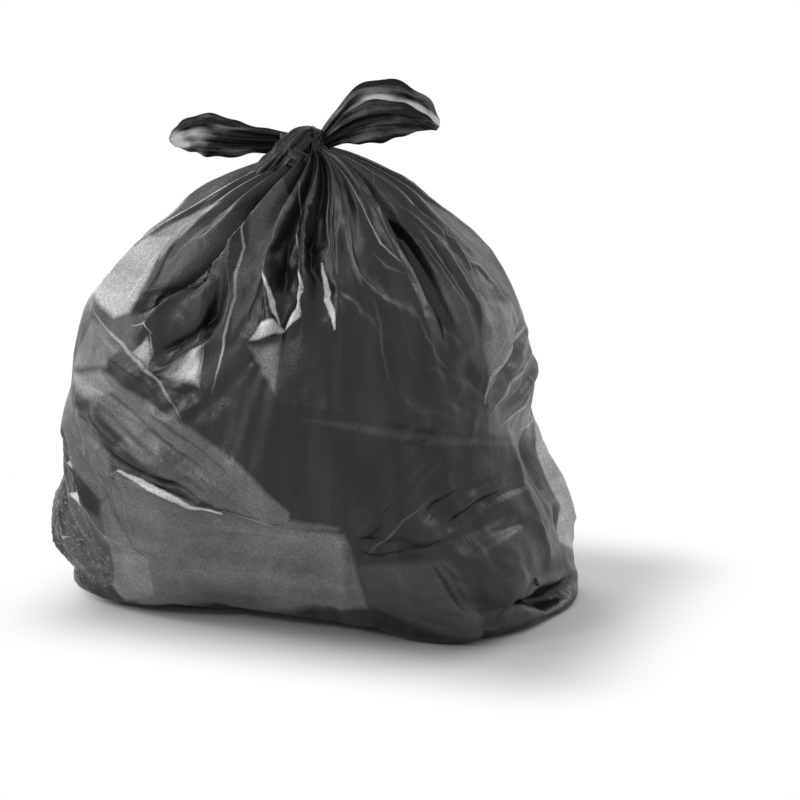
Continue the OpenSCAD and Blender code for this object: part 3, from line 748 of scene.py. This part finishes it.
# The finer grid of the finished film, with closer columns on the front
FRONT_COLUMNS = 300
BACK_COLUMNS = 116
FRONT_FROM = -190
FRONT_SPAN = 214
FINE_ROWS = 231
EDGE_COLUMNS = 4


def finer(points, a, s):
    """A coarse grid taken at finer columns and rows, on smooth curves through its points."""
    rows = along_curve(points.reshape(ROWS, -1), s / SIDE_LENGTH * (ROWS - 1))
    rows = rows.reshape(len(s), COLUMNS, 3)
    padded = np.concatenate([rows[:, -EDGE_COLUMNS:], rows, rows[:, :EDGE_COLUMNS]], axis=1)
    strips = padded.transpose(1, 0, 2).reshape(COLUMNS + 2 * EDGE_COLUMNS, -1)
    w = a % 360 / 360 * COLUMNS + EDGE_COLUMNS
    return along_curve(strips, w).reshape(len(a), len(s), 3).transpose(1, 0, 2)


def unit(vectors, least=1e-9):
    return vectors / np.maximum(np.linalg.norm(vectors, axis=-1, keepdims=True), least)


def outward_normals(points):
    round_way = np.roll(points, -1, axis=1) - np.roll(points, 1, axis=1)
    return unit(np.cross(round_way, np.gradient(points, axis=0)))


def fine_rise(a, s):
    """Rise of the fine creases, in millimetres."""
    rise = np.zeros(a.shape)
    add_folds(rise, a, s, FINE_CREASES + SLACK_LINES, FINE_POWER, FINE_FADE, True)
    return rise * ease(s / FOOT_FADE)


def panel_share(a, s, panels):
    """Strongest of the panels at each point."""
    share = np.zeros(a.shape)
    for strength, soft, points in panels:
        angle, low, high = np.array(points, float).T
        middle = (angle[0] + angle[-1]) / 2
        x = wrap(a - middle) + middle
        above = ease((s - np.interp(x, angle, low)) / soft)
        below = ease((np.interp(x, angle, high) - s) / soft)
        left = ease((x - angle[0]) * MM_PER_DEGREE / soft)
        right = ease((angle[-1] - x) * MM_PER_DEGREE / soft)
        share = np.maximum(share, strength * above * below * left * right)
    return share


def make_body(material):
    front = FRONT_FROM + FRONT_SPAN * np.arange(FRONT_COLUMNS) / FRONT_COLUMNS
    back_span = 360 - FRONT_SPAN
    back = FRONT_FROM + FRONT_SPAN + back_span * np.arange(BACK_COLUMNS) / BACK_COLUMNS
    angles = np.concatenate([front, back])
    lengths = np.linspace(0, SIDE_LENGTH, FINE_ROWS)
    points = finer(settled_body(), angles, lengths)
    a, s = np.meshgrid(angles, lengths)
    points += outward_normals(points) * (fine_rise(a, s) * MM)[..., None]
    points[..., 2] = np.maximum(points[..., 2], 0)
    film = loft("film_body", points)
    paint(film, "crumpled", panel_share(a, s, CRUMPLED_PANELS))
    t = np.radians(a)
    paint_places(film, np.stack([FLAT_RADIUS * np.cos(t), FLAT_RADIUS * np.sin(t), s], -1))
    film.data.materials.append(material)
    return film


def waves(table, round_way, along, seed, wave=np.cos):
    """1 and a sum of waves, each of (height, waves round, waves along, steps of the seed)."""
    return 1 + sum(h * wave(n * round_way + m * along + k * seed) for h, n, m, k in table)


PATH_STEP = 0.02


def run_of(path, w):
    """Direction of a path's middle line, not of unit length."""
    return along_curve(path, w + PATH_STEP) - along_curve(path, w - PATH_STEP)


EAR_LENGTH = 120
EAR_STEPS = 90
EAR_SIDES = 120
EAR_LEAST_HALF = 0.5
EAR_MOST_THICKNESS = 1.2
EAR_PLEAT_WAVE = 540
EAR_PLEAT_LOSS = 0.8
FULL_PLEAT_HALF = 12
# Fine pleats: height, degrees of their wave across, along and for each seed
EAR_FINE_PLEATS = (0.9, 1500, 90, 60)
# Waves of the rims, on both, the upper and the lower: size, waves, steps of the seed, quickening
EAR_RIM_WAVES = [(0.05, 9, 1, 0), (0.06, 26, 2, 9), (0.05, 31, 1, 7)]
# Millimetres between the ears' places on the film laid flat
EARS_APART = 30


def ear_grid(path, phase, seed):
    """A flattened tube of film with pleats that fan out from the knot."""
    last = len(path) - 1
    w = np.linspace(0, last, EAR_STEPS)
    p = along_curve(path, w)
    run = run_of(path, w)
    along = unit(np.stack([run[:, 0], 0 * w, run[:, 1]], -1))
    flat = np.stack([-along[:, 2], 0 * w, along[:, 0]], -1)
    away = np.array([0, -1, 0])
    roll = np.radians(p[:, 4:5])
    across = flat * np.cos(roll) + away * np.sin(roll)
    through = np.cross(along, across)
    u = (w / last)[:, None]
    half = np.maximum(p[:, 2:3], EAR_LEAST_HALF)
    a = np.linspace(0, 2 * pi, EAR_SIDES, endpoint=False)[None, :]
    q = np.cos(a)
    thick = np.minimum(EAR_THICKNESS, half * EAR_MOST_THICKNESS) / 2
    fade = (1 - u * u * EAR_PLEAT_LOSS) * np.minimum(1, half / FULL_PLEAT_HALF) * (1 - q ** 4)
    pleat = EAR_PLEAT_HEIGHT * np.cos(np.radians(EAR_PLEAT_WAVE * q + phase)) * fade
    height, wave, fan, step = EAR_FINE_PLEATS
    fine = height * np.cos(np.radians(wave * q + fan * u + step * seed)) * fade
    rim = 1
    rims = (np.abs(q), np.clip(q, 0, 1), np.clip(-q, 0, 1))
    for (size, wave, step, quicker), side in zip(EAR_RIM_WAVES, rims):
        rim = rim + size * np.sin(wave * u + step * seed + quicker * u * u) * side
    centre = np.stack([p[:, 0], -p[:, 3], p[:, 1]], -1)
    grid = (
        centre[:, None, :]
        + across[:, None, :] * (half * q * rim)[..., None]
        + through[:, None, :] * (thick * np.sin(a) + pleat + fine)[..., None]
    )
    turn = radians(EAR_TURN)
    x = grid[..., 0] * cos(turn) - grid[..., 1] * sin(turn)
    y = grid[..., 0] * sin(turn) + grid[..., 1] * cos(turn)
    return np.stack([x, y, grid[..., 2]], -1) * MM, u + 0 * q, q + 0 * u, half


def make_ear(name, path, thin_spots, phase, seed, material):
    grid, along, across, half = ear_grid(path, phase, seed)
    ear = loft(name, grid)
    thin = np.zeros(along.shape)
    for u, q, breadth_u, breadth_q, strength in thin_spots:
        spot = np.exp(-((along - u) / breadth_u) ** 2 - ((across - q) / breadth_q) ** 2)
        thin = np.maximum(thin, strength * spot)
    paint(ear, "thin", thin)
    apart = np.full(along.shape, EARS_APART * seed)
    paint_places(ear, np.stack([along * EAR_LENGTH, across * half, apart], -1))
    ear.data.materials.append(material)
    return ear


STRAND_STEPS = 120
STRAND_SIDES = 96
STRAND_PLEATS = [(0.11, 6, 5, 1), (0.07, 11, -8, 2), (0.035, 21, 9, 1), (0.03, 29, -14, 3)]
STRAND_LUMPS = [(0.06, 2, 14, 1), (0.03, -3, 37, 0)]
# Strands narrow this fast at their ends, to this share of their area
STRAND_END_GROWTH = 14
STRAND_END_SHARE = 0.02


def strand_grid(path, seed):
    """A bunch of film, round the bend of the path, with pleats along it."""
    last = len(path) - 1
    w = np.linspace(0, last, STRAND_STEPS)
    p = along_curve(path, w)
    along = unit(run_of(path, w)[:, :3])
    away = p[:, :3] - np.array(KNOT_CORE, float)
    away = unit(away - along * np.sum(away * along, axis=1, keepdims=True))
    across = np.cross(along, away)
    a = np.linspace(0, 2 * pi, STRAND_SIDES, endpoint=False)[None, :]
    u = (w / last)[:, None]
    ends = np.clip(np.minimum(u, 1 - u) * STRAND_END_GROWTH, STRAND_END_SHARE, 1)
    size = waves(STRAND_PLEATS, a, u, seed) * waves(STRAND_LUMPS, a, u, seed, np.sin)
    size *= np.sqrt(ends)
    grid = (
        p[:, None, :3]
        + across[:, None, :] * (p[:, 3:4] * np.cos(a) * size)[..., None]
        + away[:, None, :] * (p[:, 4:5] * np.sin(a) * size)[..., None]
    )
    return grid * MM


CORE_ROWS = 40
CORE_COLUMNS = 60
CORE_PLEATS = [(0.05, 6, 4, 0), (0.04, 11, -5, 0)]
CORE_HOLE = 0.02


def core_grid():
    """The lump in the middle of the knot."""
    t = np.linspace(CORE_HOLE, pi - CORE_HOLE, CORE_ROWS)[:, None]
    a = np.linspace(0, 2 * pi, CORE_COLUMNS, endpoint=False)[None, :]
    out = np.sin(t) * waves(CORE_PLEATS, a, t, 0)
    shell = np.stack([out * np.cos(a), out * np.sin(a), -np.cos(t) + 0 * a], -1)
    return (shell * np.array(KNOT_CORE_HALF) + np.array(KNOT_CORE)) * MM


def make_lump(name, grid, material):
    lump = loft(name, grid)
    lump.data.materials.append(material)
    return lump


def set_inputs(tree, node, inputs):
    """Link each input to its socket, or give it its number."""
    for name, value in inputs.items():
        if isinstance(value, bpy.types.NodeSocket):
            tree.links.new(value, node.inputs[name])
        else:
            node.inputs[name].default_value = value


def add_node(tree, kind, inputs=None, **values):
    node = tree.nodes.new("ShaderNode" + kind)
    for name, value in values.items():
        setattr(node, name, value)
    set_inputs(tree, node, inputs or {})
    return node


def new_material(name):
    """A material of one shader, with its node tree and the shader."""
    material = bpy.data.materials.new(name)
    material.use_nodes = True
    tree = material.node_tree
    tree.nodes.clear()
    shader = add_node(tree, "BsdfPrincipled")
    add_node(tree, "OutputMaterial", {"Surface": shader.outputs["BSDF"]})
    return material, tree, shader


def mix_colours(tree, factor, low, high):
    """A colour between two, by a factor socket."""
    inputs = {"Factor": factor, "A": (*low, 1), "B": (*high, 1)}
    return add_node(tree, "Mix", inputs, data_type="RGBA").outputs["Result"]


def map_range(tree, value, low, high, to_low, to_high, kind="LINEAR"):
    inputs = {"Value": value, "From Min": low, "From Max": high, "To Min": to_low, "To Max": to_high}
    return add_node(tree, "MapRange", inputs, interpolation_type=kind).outputs["Result"]


def math_node(tree, operation, a, b, clamp=False):
    node = add_node(tree, "Math", {0: a, 1: b}, operation=operation, use_clamp=clamp)
    return node.outputs["Value"]


def vector_math(tree, operation, *values):
    node = add_node(tree, "VectorMath", dict(enumerate(values)), operation=operation)
    return node.outputs["Value" if operation in ("DOT_PRODUCT", "LENGTH") else "Vector"]


def attribute(tree, name, output):
    return add_node(tree, "Attribute", attribute_name=name).outputs[output]


def noise(tree, place, scale, detail, stretch=(1, 1, 1), kind="FBM", distortion=0.0):
    """Noise at a place, as a socket."""
    mapping = add_node(tree, "Mapping", {"Vector": place, "Scale": stretch})
    inputs = {"Vector": mapping.outputs["Vector"], "Scale": scale, "Detail": detail,
              "Distortion": distortion}
    return add_node(tree, "TexNoise", inputs, noise_type=kind, normalize=True).outputs["Fac"]


def bumps(tree, layers):
    """Normal of a chain of bumps: (height socket, strength, distance)."""
    normal = {}
    for height, strength, distance in layers:
        inputs = {"Height": height, "Strength": strength, "Distance": distance, **normal}
        normal = {"Normal": add_node(tree, "Bump", inputs).outputs["Normal"]}
    return normal["Normal"]


def flat_place(tree):
    """Place on the film laid flat, as (metres round, metres up, 1), with a slight wander."""
    unrolled = attribute(tree, "unrolled", "Vector")
    inputs = {"Vector": unrolled, "Scale": WANDER_NOISE[0], "Detail": WANDER_NOISE[1]}
    texture = add_node(tree, "TexNoise", inputs, normalize=True)
    size = PATCH_WANDER * MM
    span, least = (2 * size, 2 * size, 0), (-size, -size, 0)
    wander = vector_math(tree, "MULTIPLY_ADD", texture.outputs["Color"], span, least)
    x, y, z = add_node(tree, "SeparateXYZ", {"Vector": unrolled}).outputs
    round_way = math_node(tree, "MULTIPLY", math_node(tree, "ARCTAN2", y, x), FLAT_RADIUS * MM)
    flat = add_node(tree, "CombineXYZ", {"X": round_way, "Y": z, "Z": 1})
    return vector_math(tree, "ADD", flat.outputs["Vector"], wander)


def patch_inside(tree, place, outline, soft):
    """1 well inside a convex outline and 0 outside it, as a socket."""
    points = [(a * FLAT_DEGREE * MM, s * MM) for a, s in pairs(outline)]
    edges = list(zip(points, points[1:] + points[:1]))
    turn = 1 if sum(p[0] * q[1] - q[0] * p[1] for p, q in edges) > 0 else -1
    least = 1.0
    for p, q in edges:
        x, y = q[0] - p[0], q[1] - p[1]
        scale = turn / (soft * MM * hypot(x, y))
        edge = (-y * scale, x * scale, (p[0] * y - p[1] * x) * scale)
        distance = vector_math(tree, "DOT_PRODUCT", place, edge)
        least = math_node(tree, "MINIMUM", distance, least)
    return least


def stroke_patches():
    """Four-cornered patches along each stroke, tapered at its ends."""
    patches = []
    for share, soft, half, *line in STROKES + BACK_STROKES:
        points = [Vector((a * FLAT_DEGREE, s)) for a, s in pairs(line)]
        halves = [half * STROKE_TIP] + [half] * (len(points) - 2) + [half * STROKE_TIP]
        for p, q, p_half, q_half in zip(points, points[1:], halves, halves[1:]):
            along = (q - p).normalized()
            p, q = p - along, q + along
            side = Vector((-along.y, along.x))
            corners = (p + side * p_half, q + side * q_half, q - side * q_half, p - side * p_half)
            outline = [place for c in corners for place in (c.x / FLAT_DEGREE, c.y)]
            patches.append((share, soft, *outline))
    return patches


def patch_share(tree, patches):
    """Strongest of the patches, less what the ones below 0 take away, as a socket."""
    place = flat_place(tree)
    share = 0.0
    for strength, soft, *outline in patches:
        inside = patch_inside(tree, place, outline, soft)
        low, high = (0.0, strength) if strength > 0 else (1.0, 1 + strength)
        level = map_range(tree, inside, 0.0, 1.0, low, high)
        share = math_node(tree, "MAXIMUM" if strength > 0 else "MULTIPLY", level, share)
    return share


FILM_DARK = (0.007, 0.007, 0.0068)
# Paler colour for the film's own random tone, also used for painted light
FILM_PALE_AND_PAINTED_LIGHT = (0.8, 0.8, 0.782)
RIDGES = "RIDGED_MULTIFRACTAL"

# Noises of the film: scale, detail, stretch, kind, distortion
CLOUD = (14, 4)
STREAK = (46, 4, (1, 1, 0.16))
CROSS = (40, 4, (0.3, 0.3, 1.4))
SHEEN = (60, 5, (1, 1, 0.5))
CRINKLE = (60, 3, (1, 1, 0.5), RIDGES, 0.4)
PULL = (90, 3, (1, 1, 0.1))
GRIT = (520, 2)
GRAIN = (420, 3)
SPARKS = (340, 4)
CRUSH = (70, 4, (1, 1, 1), RIDGES, 0.6)
# What a noise's range stands for: noise from, noise to, value there, value there
CLOUD_MOTTLE = (0.3, 0.7, 0.78, 1.12)
CROSS_MOTTLE = (0.35, 0.65, -0.18, 0.18)
GRIT_MOTTLE = (0.32, 0.68, 0.7, 1.3)
STREAK_TINT = (0.46, 0.74, 0.0, 0.03)
CLOUD_HAZE = (0.45, 0.75, 0.0, 0.012)
# Painted glints in the colour: their level by noise, and their places by crumpling
SPARK_LEVEL = (0.54, 0.7, 0.0, 0.32)
SPARK_PLACES = (0.7, 1.0, 0.0, 1.0)
FILM_ROUGHNESS = (0.3, 0.7, 0.3, 0.48)
# Bumps: strength, distance in metres
PULL_BUMP = (0.16, 0.004)
CRINKLE_BUMP = (0.22, 0.004)
CRUSH_BUMP = (0.7, 0.006)
GRAIN_BUMP = (0.4, 0.001)


def film_material():
    material, tree, shader = new_material("polythene_film")
    solid = add_node(tree, "TexCoord").outputs["Object"]
    film = attribute(tree, "unrolled", "Vector")
    crumpled = attribute(tree, "crumpled", "Fac")
    # The patches and strokes paint highlights, light shining through and shade into the film's colour
    drawn = PATCHES + BACK_PATCHES + stroke_patches()
    painted_light_share = patch_share(tree, sorted(drawn, key=lambda patch: patch[0] < 0))
    cloud = noise(tree, film, *CLOUD)
    mottle = math_node(tree, "ADD", map_range(tree, cloud, *CLOUD_MOTTLE),
                       map_range(tree, noise(tree, film, *CROSS), *CROSS_MOTTLE))
    grit = map_range(tree, noise(tree, solid, *GRIT), *GRIT_MOTTLE)
    lit = math_node(tree, "MULTIPLY", painted_light_share, math_node(tree, "MULTIPLY", mottle, grit))
    # Glints painted into the colour where the film is crumpled
    sparkle = math_node(tree, "MULTIPLY", map_range(tree, noise(tree, solid, *SPARKS), *SPARK_LEVEL),
                        map_range(tree, crumpled, *SPARK_PLACES))
    tint = map_range(tree, noise(tree, film, *STREAK), *STREAK_TINT)
    haze = math_node(tree, "ADD", tint, map_range(tree, cloud, *CLOUD_HAZE))
    factor = math_node(tree, "ADD", math_node(tree, "MAXIMUM", lit, sparkle), haze)
    crush = math_node(tree, "MULTIPLY", noise(tree, solid, *CRUSH), crumpled)
    set_inputs(tree, shader, {
        "Base Color": mix_colours(tree, factor, FILM_DARK, FILM_PALE_AND_PAINTED_LIGHT),
        "Roughness": map_range(tree, noise(tree, film, *SHEEN), *FILM_ROUGHNESS),
        "Specular IOR Level": 0.34,
        "Coat Weight": 0.05,
        "Coat Roughness": 0.2,
        "Normal": bumps(tree, [
            (noise(tree, film, *PULL), *PULL_BUMP),
            (noise(tree, film, *CRINKLE), *CRINKLE_BUMP),
            (crush, *CRUSH_BUMP),
            (noise(tree, solid, *GRAIN), *GRAIN_BUMP),
        ]),
    })
    return material


# Noises, ranges and bumps of the ears' single film
EAR_PLEATS = (130, 3, (0.16, 1, 1))
EAR_CLOUD = (45, 4)
EAR_RIDGES = (110, 4, (0.14, 1, 1), RIDGES, 0.3)
EAR_CRINKLE = (90, 3, (1, 1, 1), RIDGES, 0.4)
PLEAT_THINNESS = (0.38, 0.6, -0.4, 0.25)
CLOUD_THINNESS = (0.3, 0.7, -0.3, 0.25)
EAR_ALPHA = (0.1, 1.0, 1.0, 0.4)
# How much thin places are painted paler, as light shining through
EAR_PAINTED_LIGHT = (0.0, 1.0, 0.0, 0.36)
RIDGE_BUMP = (0.7, 0.005)
EAR_CRINKLE_BUMP = (0.6, 0.004)


def ear_material():
    material, tree, shader = new_material("single_film")
    film = attribute(tree, "unrolled", "Vector")
    patchy = math_node(
        tree, "ADD", map_range(tree, noise(tree, film, *EAR_PLEATS), *PLEAT_THINNESS),
        map_range(tree, noise(tree, film, *EAR_CLOUD), *CLOUD_THINNESS))
    share = math_node(tree, "ADD", attribute(tree, "thin", "Fac"), patchy)
    crinkle = noise(tree, add_node(tree, "TexCoord").outputs["Object"], *EAR_CRINKLE)
    ridges = noise(tree, film, *EAR_RIDGES)
    set_inputs(tree, shader, {
        "Alpha": map_range(tree, share, *EAR_ALPHA),
        # thin places are see-through, and their colour is painted paler as light shining through
        "Base Color": mix_colours(tree, map_range(tree, share, *EAR_PAINTED_LIGHT), FILM_DARK, FILM_PALE_AND_PAINTED_LIGHT),
        "Roughness": 0.55,
        "Specular IOR Level": 0.2,
        "Normal": bumps(tree, [(ridges, *RIDGE_BUMP), (crinkle, *EAR_CRINKLE_BUMP)]),
    })
    return material


KNOT_CRINKLE = (120, 3, (1, 1, 1), RIDGES, 0.5)
KNOT_BUMP = (0.6, 0.004)


def knot_material():
    material, tree, shader = new_material("bunched_film")
    crinkle = noise(tree, add_node(tree, "TexCoord").outputs["Object"], *KNOT_CRINKLE)
    set_inputs(tree, shader, {
        "Base Color": (0.01, 0.01, 0.0098, 1),
        "Roughness": 0.42,
        "Specular IOR Level": 0.35,
        "Normal": bumps(tree, [(crinkle, *KNOT_BUMP)]),
    })
    return material


WHITE = (1, 1, 1, 1)
FLOOR_HALF = 6.0
# The foot's middle and half size on the floor, and how far from it the grey floor with its shadow
# fades to white, in metres
FOOT_MIDDLE = (0.05, 0.02, 0)
FOOT_HALF = (0.2, 0.15, 1)
SHADE_FAR = 0.13


def background_rays(tree):
    """1 for rays that show the background, to the camera or by gloss or glass, as a socket."""
    rays = add_node(tree, "LightPath").outputs
    seen = math_node(tree, "ADD", rays["Is Camera Ray"], rays["Is Glossy Ray"], clamp=True)
    return math_node(tree, "ADD", seen, rays["Is Transmission Ray"], clamp=True)


def make_floor():
    """Floor that takes the sack's shadow near its foot, and shows plain white farther out. Near the
    foot its grey colour is painted shade, darker than the white beyond.
    """
    h = FLOOR_HALF
    points = [(-h, -h, 0), (h, -h, 0), (h, h, 0), (-h, h, 0)]
    floor = new_object("floor", points, [(0, 1, 2, 3)], smooth=False)
    material, tree, shader = new_material("floor")
    # Its grey colour near the foot is painted shade about the foot, besides the real shadow
    set_inputs(tree, shader, {"Base Color": (0.7, 0.7, 0.7, 1), "Roughness": 0.9})
    place = add_node(tree, "TexCoord").outputs["Object"]
    beside = vector_math(tree, "ABSOLUTE", vector_math(tree, "SUBTRACT", place, FOOT_MIDDLE))
    beyond = vector_math(tree, "MAXIMUM", vector_math(tree, "SUBTRACT", beside, FOOT_HALF), (0, 0, 0))
    far = map_range(tree, vector_math(tree, "LENGTH", beyond), 0, SHADE_FAR, 0, 1, "SMOOTHSTEP")
    mix = add_node(tree, "MixShader", {
        0: math_node(tree, "MULTIPLY", far, background_rays(tree)),
        1: shader.outputs["BSDF"],
        2: add_node(tree, "Emission").outputs["Emission"],
    })
    set_inputs(tree, tree.nodes["Material Output"], {"Surface": mix.outputs["Shader"]})
    floor.data.materials.append(material)


def make_camera():
    az, el = radians(CAMERA_AZIMUTH), radians(CAMERA_ELEVATION)
    back = Vector((sin(az) * cos(el), -cos(az) * cos(el), sin(el)))
    right = Vector((cos(az), sin(az), 0))
    up = back.cross(right)
    data = bpy.data.cameras.new("camera")
    camera = bpy.data.objects.new("camera", data)
    bpy.context.scene.collection.objects.link(camera)
    camera.location = right * AIM_RIGHT + up * AIM_UP + back * CAMERA_DISTANCE
    camera.rotation_euler = (-back).to_track_quat("-Z", "Y").to_euler()
    data.sensor_width = SENSOR
    data.lens = SENSOR * CAMERA_DISTANCE / FRAME_WIDTH
    bpy.context.scene.camera = camera


# Lamps: name, place, size, watts
LAMPS = [
    ("key_behind_left", (-1.7, 1.5, 1.0), (1.5, 1.4), 26),
    ("soft_left", (-1.7, -0.7, 1.5), (0.9, 1.2), 16),
    ("small_front", (-1.1, -2.0, 1.3), (0.3, 0.3), 8),
    ("soft_behind_right", (1.2, 1.8, 1.8), (1.4, 1.0), 16),
]
LAMP_TARGET = Vector((0, 0, 0.2))
# The world by height: direction from, direction to, strength there, strength there
SKY = (0, 0.7, 0.28, 0.62)


def make_lamps():
    for name, place, size, power in LAMPS:
        data = bpy.data.lights.new(name, "AREA")
        data.energy = power
        data.shape = "RECTANGLE"
        data.size, data.size_y = size
        lamp = bpy.data.objects.new(name, data)
        bpy.context.scene.collection.objects.link(lamp)
        lamp.location = place
        lamp.rotation_euler = (LAMP_TARGET - Vector(place)).to_track_quat("-Z", "Y").to_euler()


def make_world():
    world = bpy.data.worlds.new("world")
    world.use_nodes = True
    bpy.context.scene.world = world
    tree = world.node_tree
    way = add_node(tree, "SeparateXYZ", {"Vector": add_node(tree, "TexCoord").outputs["Generated"]})
    plain = tree.nodes["Background"]
    strength = map_range(tree, way.outputs["Z"], *SKY)
    set_inputs(tree, plain, {"Color": WHITE, "Strength": strength})
    mix = add_node(tree, "MixShader", {
        0: background_rays(tree),
        1: plain.outputs["Background"],
        2: add_node(tree, "Background", {"Color": WHITE}).outputs["Background"],
    })
    set_inputs(tree, tree.nodes["World Output"], {"Surface": mix.outputs["Shader"]})


make_camera()
film = film_material()
single = ear_material()
bunched = knot_material()
pieces = [
    make_body(film),
    make_ear("ear_left", LEFT_EAR, LEFT_EAR_THIN, 0, 1, single),
    make_ear("ear_right_back", RIGHT_EAR_BACK, RIGHT_EAR_BACK_THIN, 40, 2, single),
    make_ear("ear_right_front", RIGHT_EAR_FRONT, RIGHT_EAR_FRONT_THIN, 120, 3, single),
    make_lump("knot_wrap", strand_grid(KNOT_WRAP, 1), bunched),
    make_lump("knot_band", strand_grid(KNOT_BAND, 3), bunched),
    make_lump("knot_rise", strand_grid(KNOT_RISE, 5), bunched),
    make_lump("knot_core", core_grid(), bunched),
]
for piece in pieces:
    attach(piece, "root")
    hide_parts(NODE)
make_floor()
make_lamps()
make_world()
bpy.context.scene.view_settings.view_transform = "Standard"
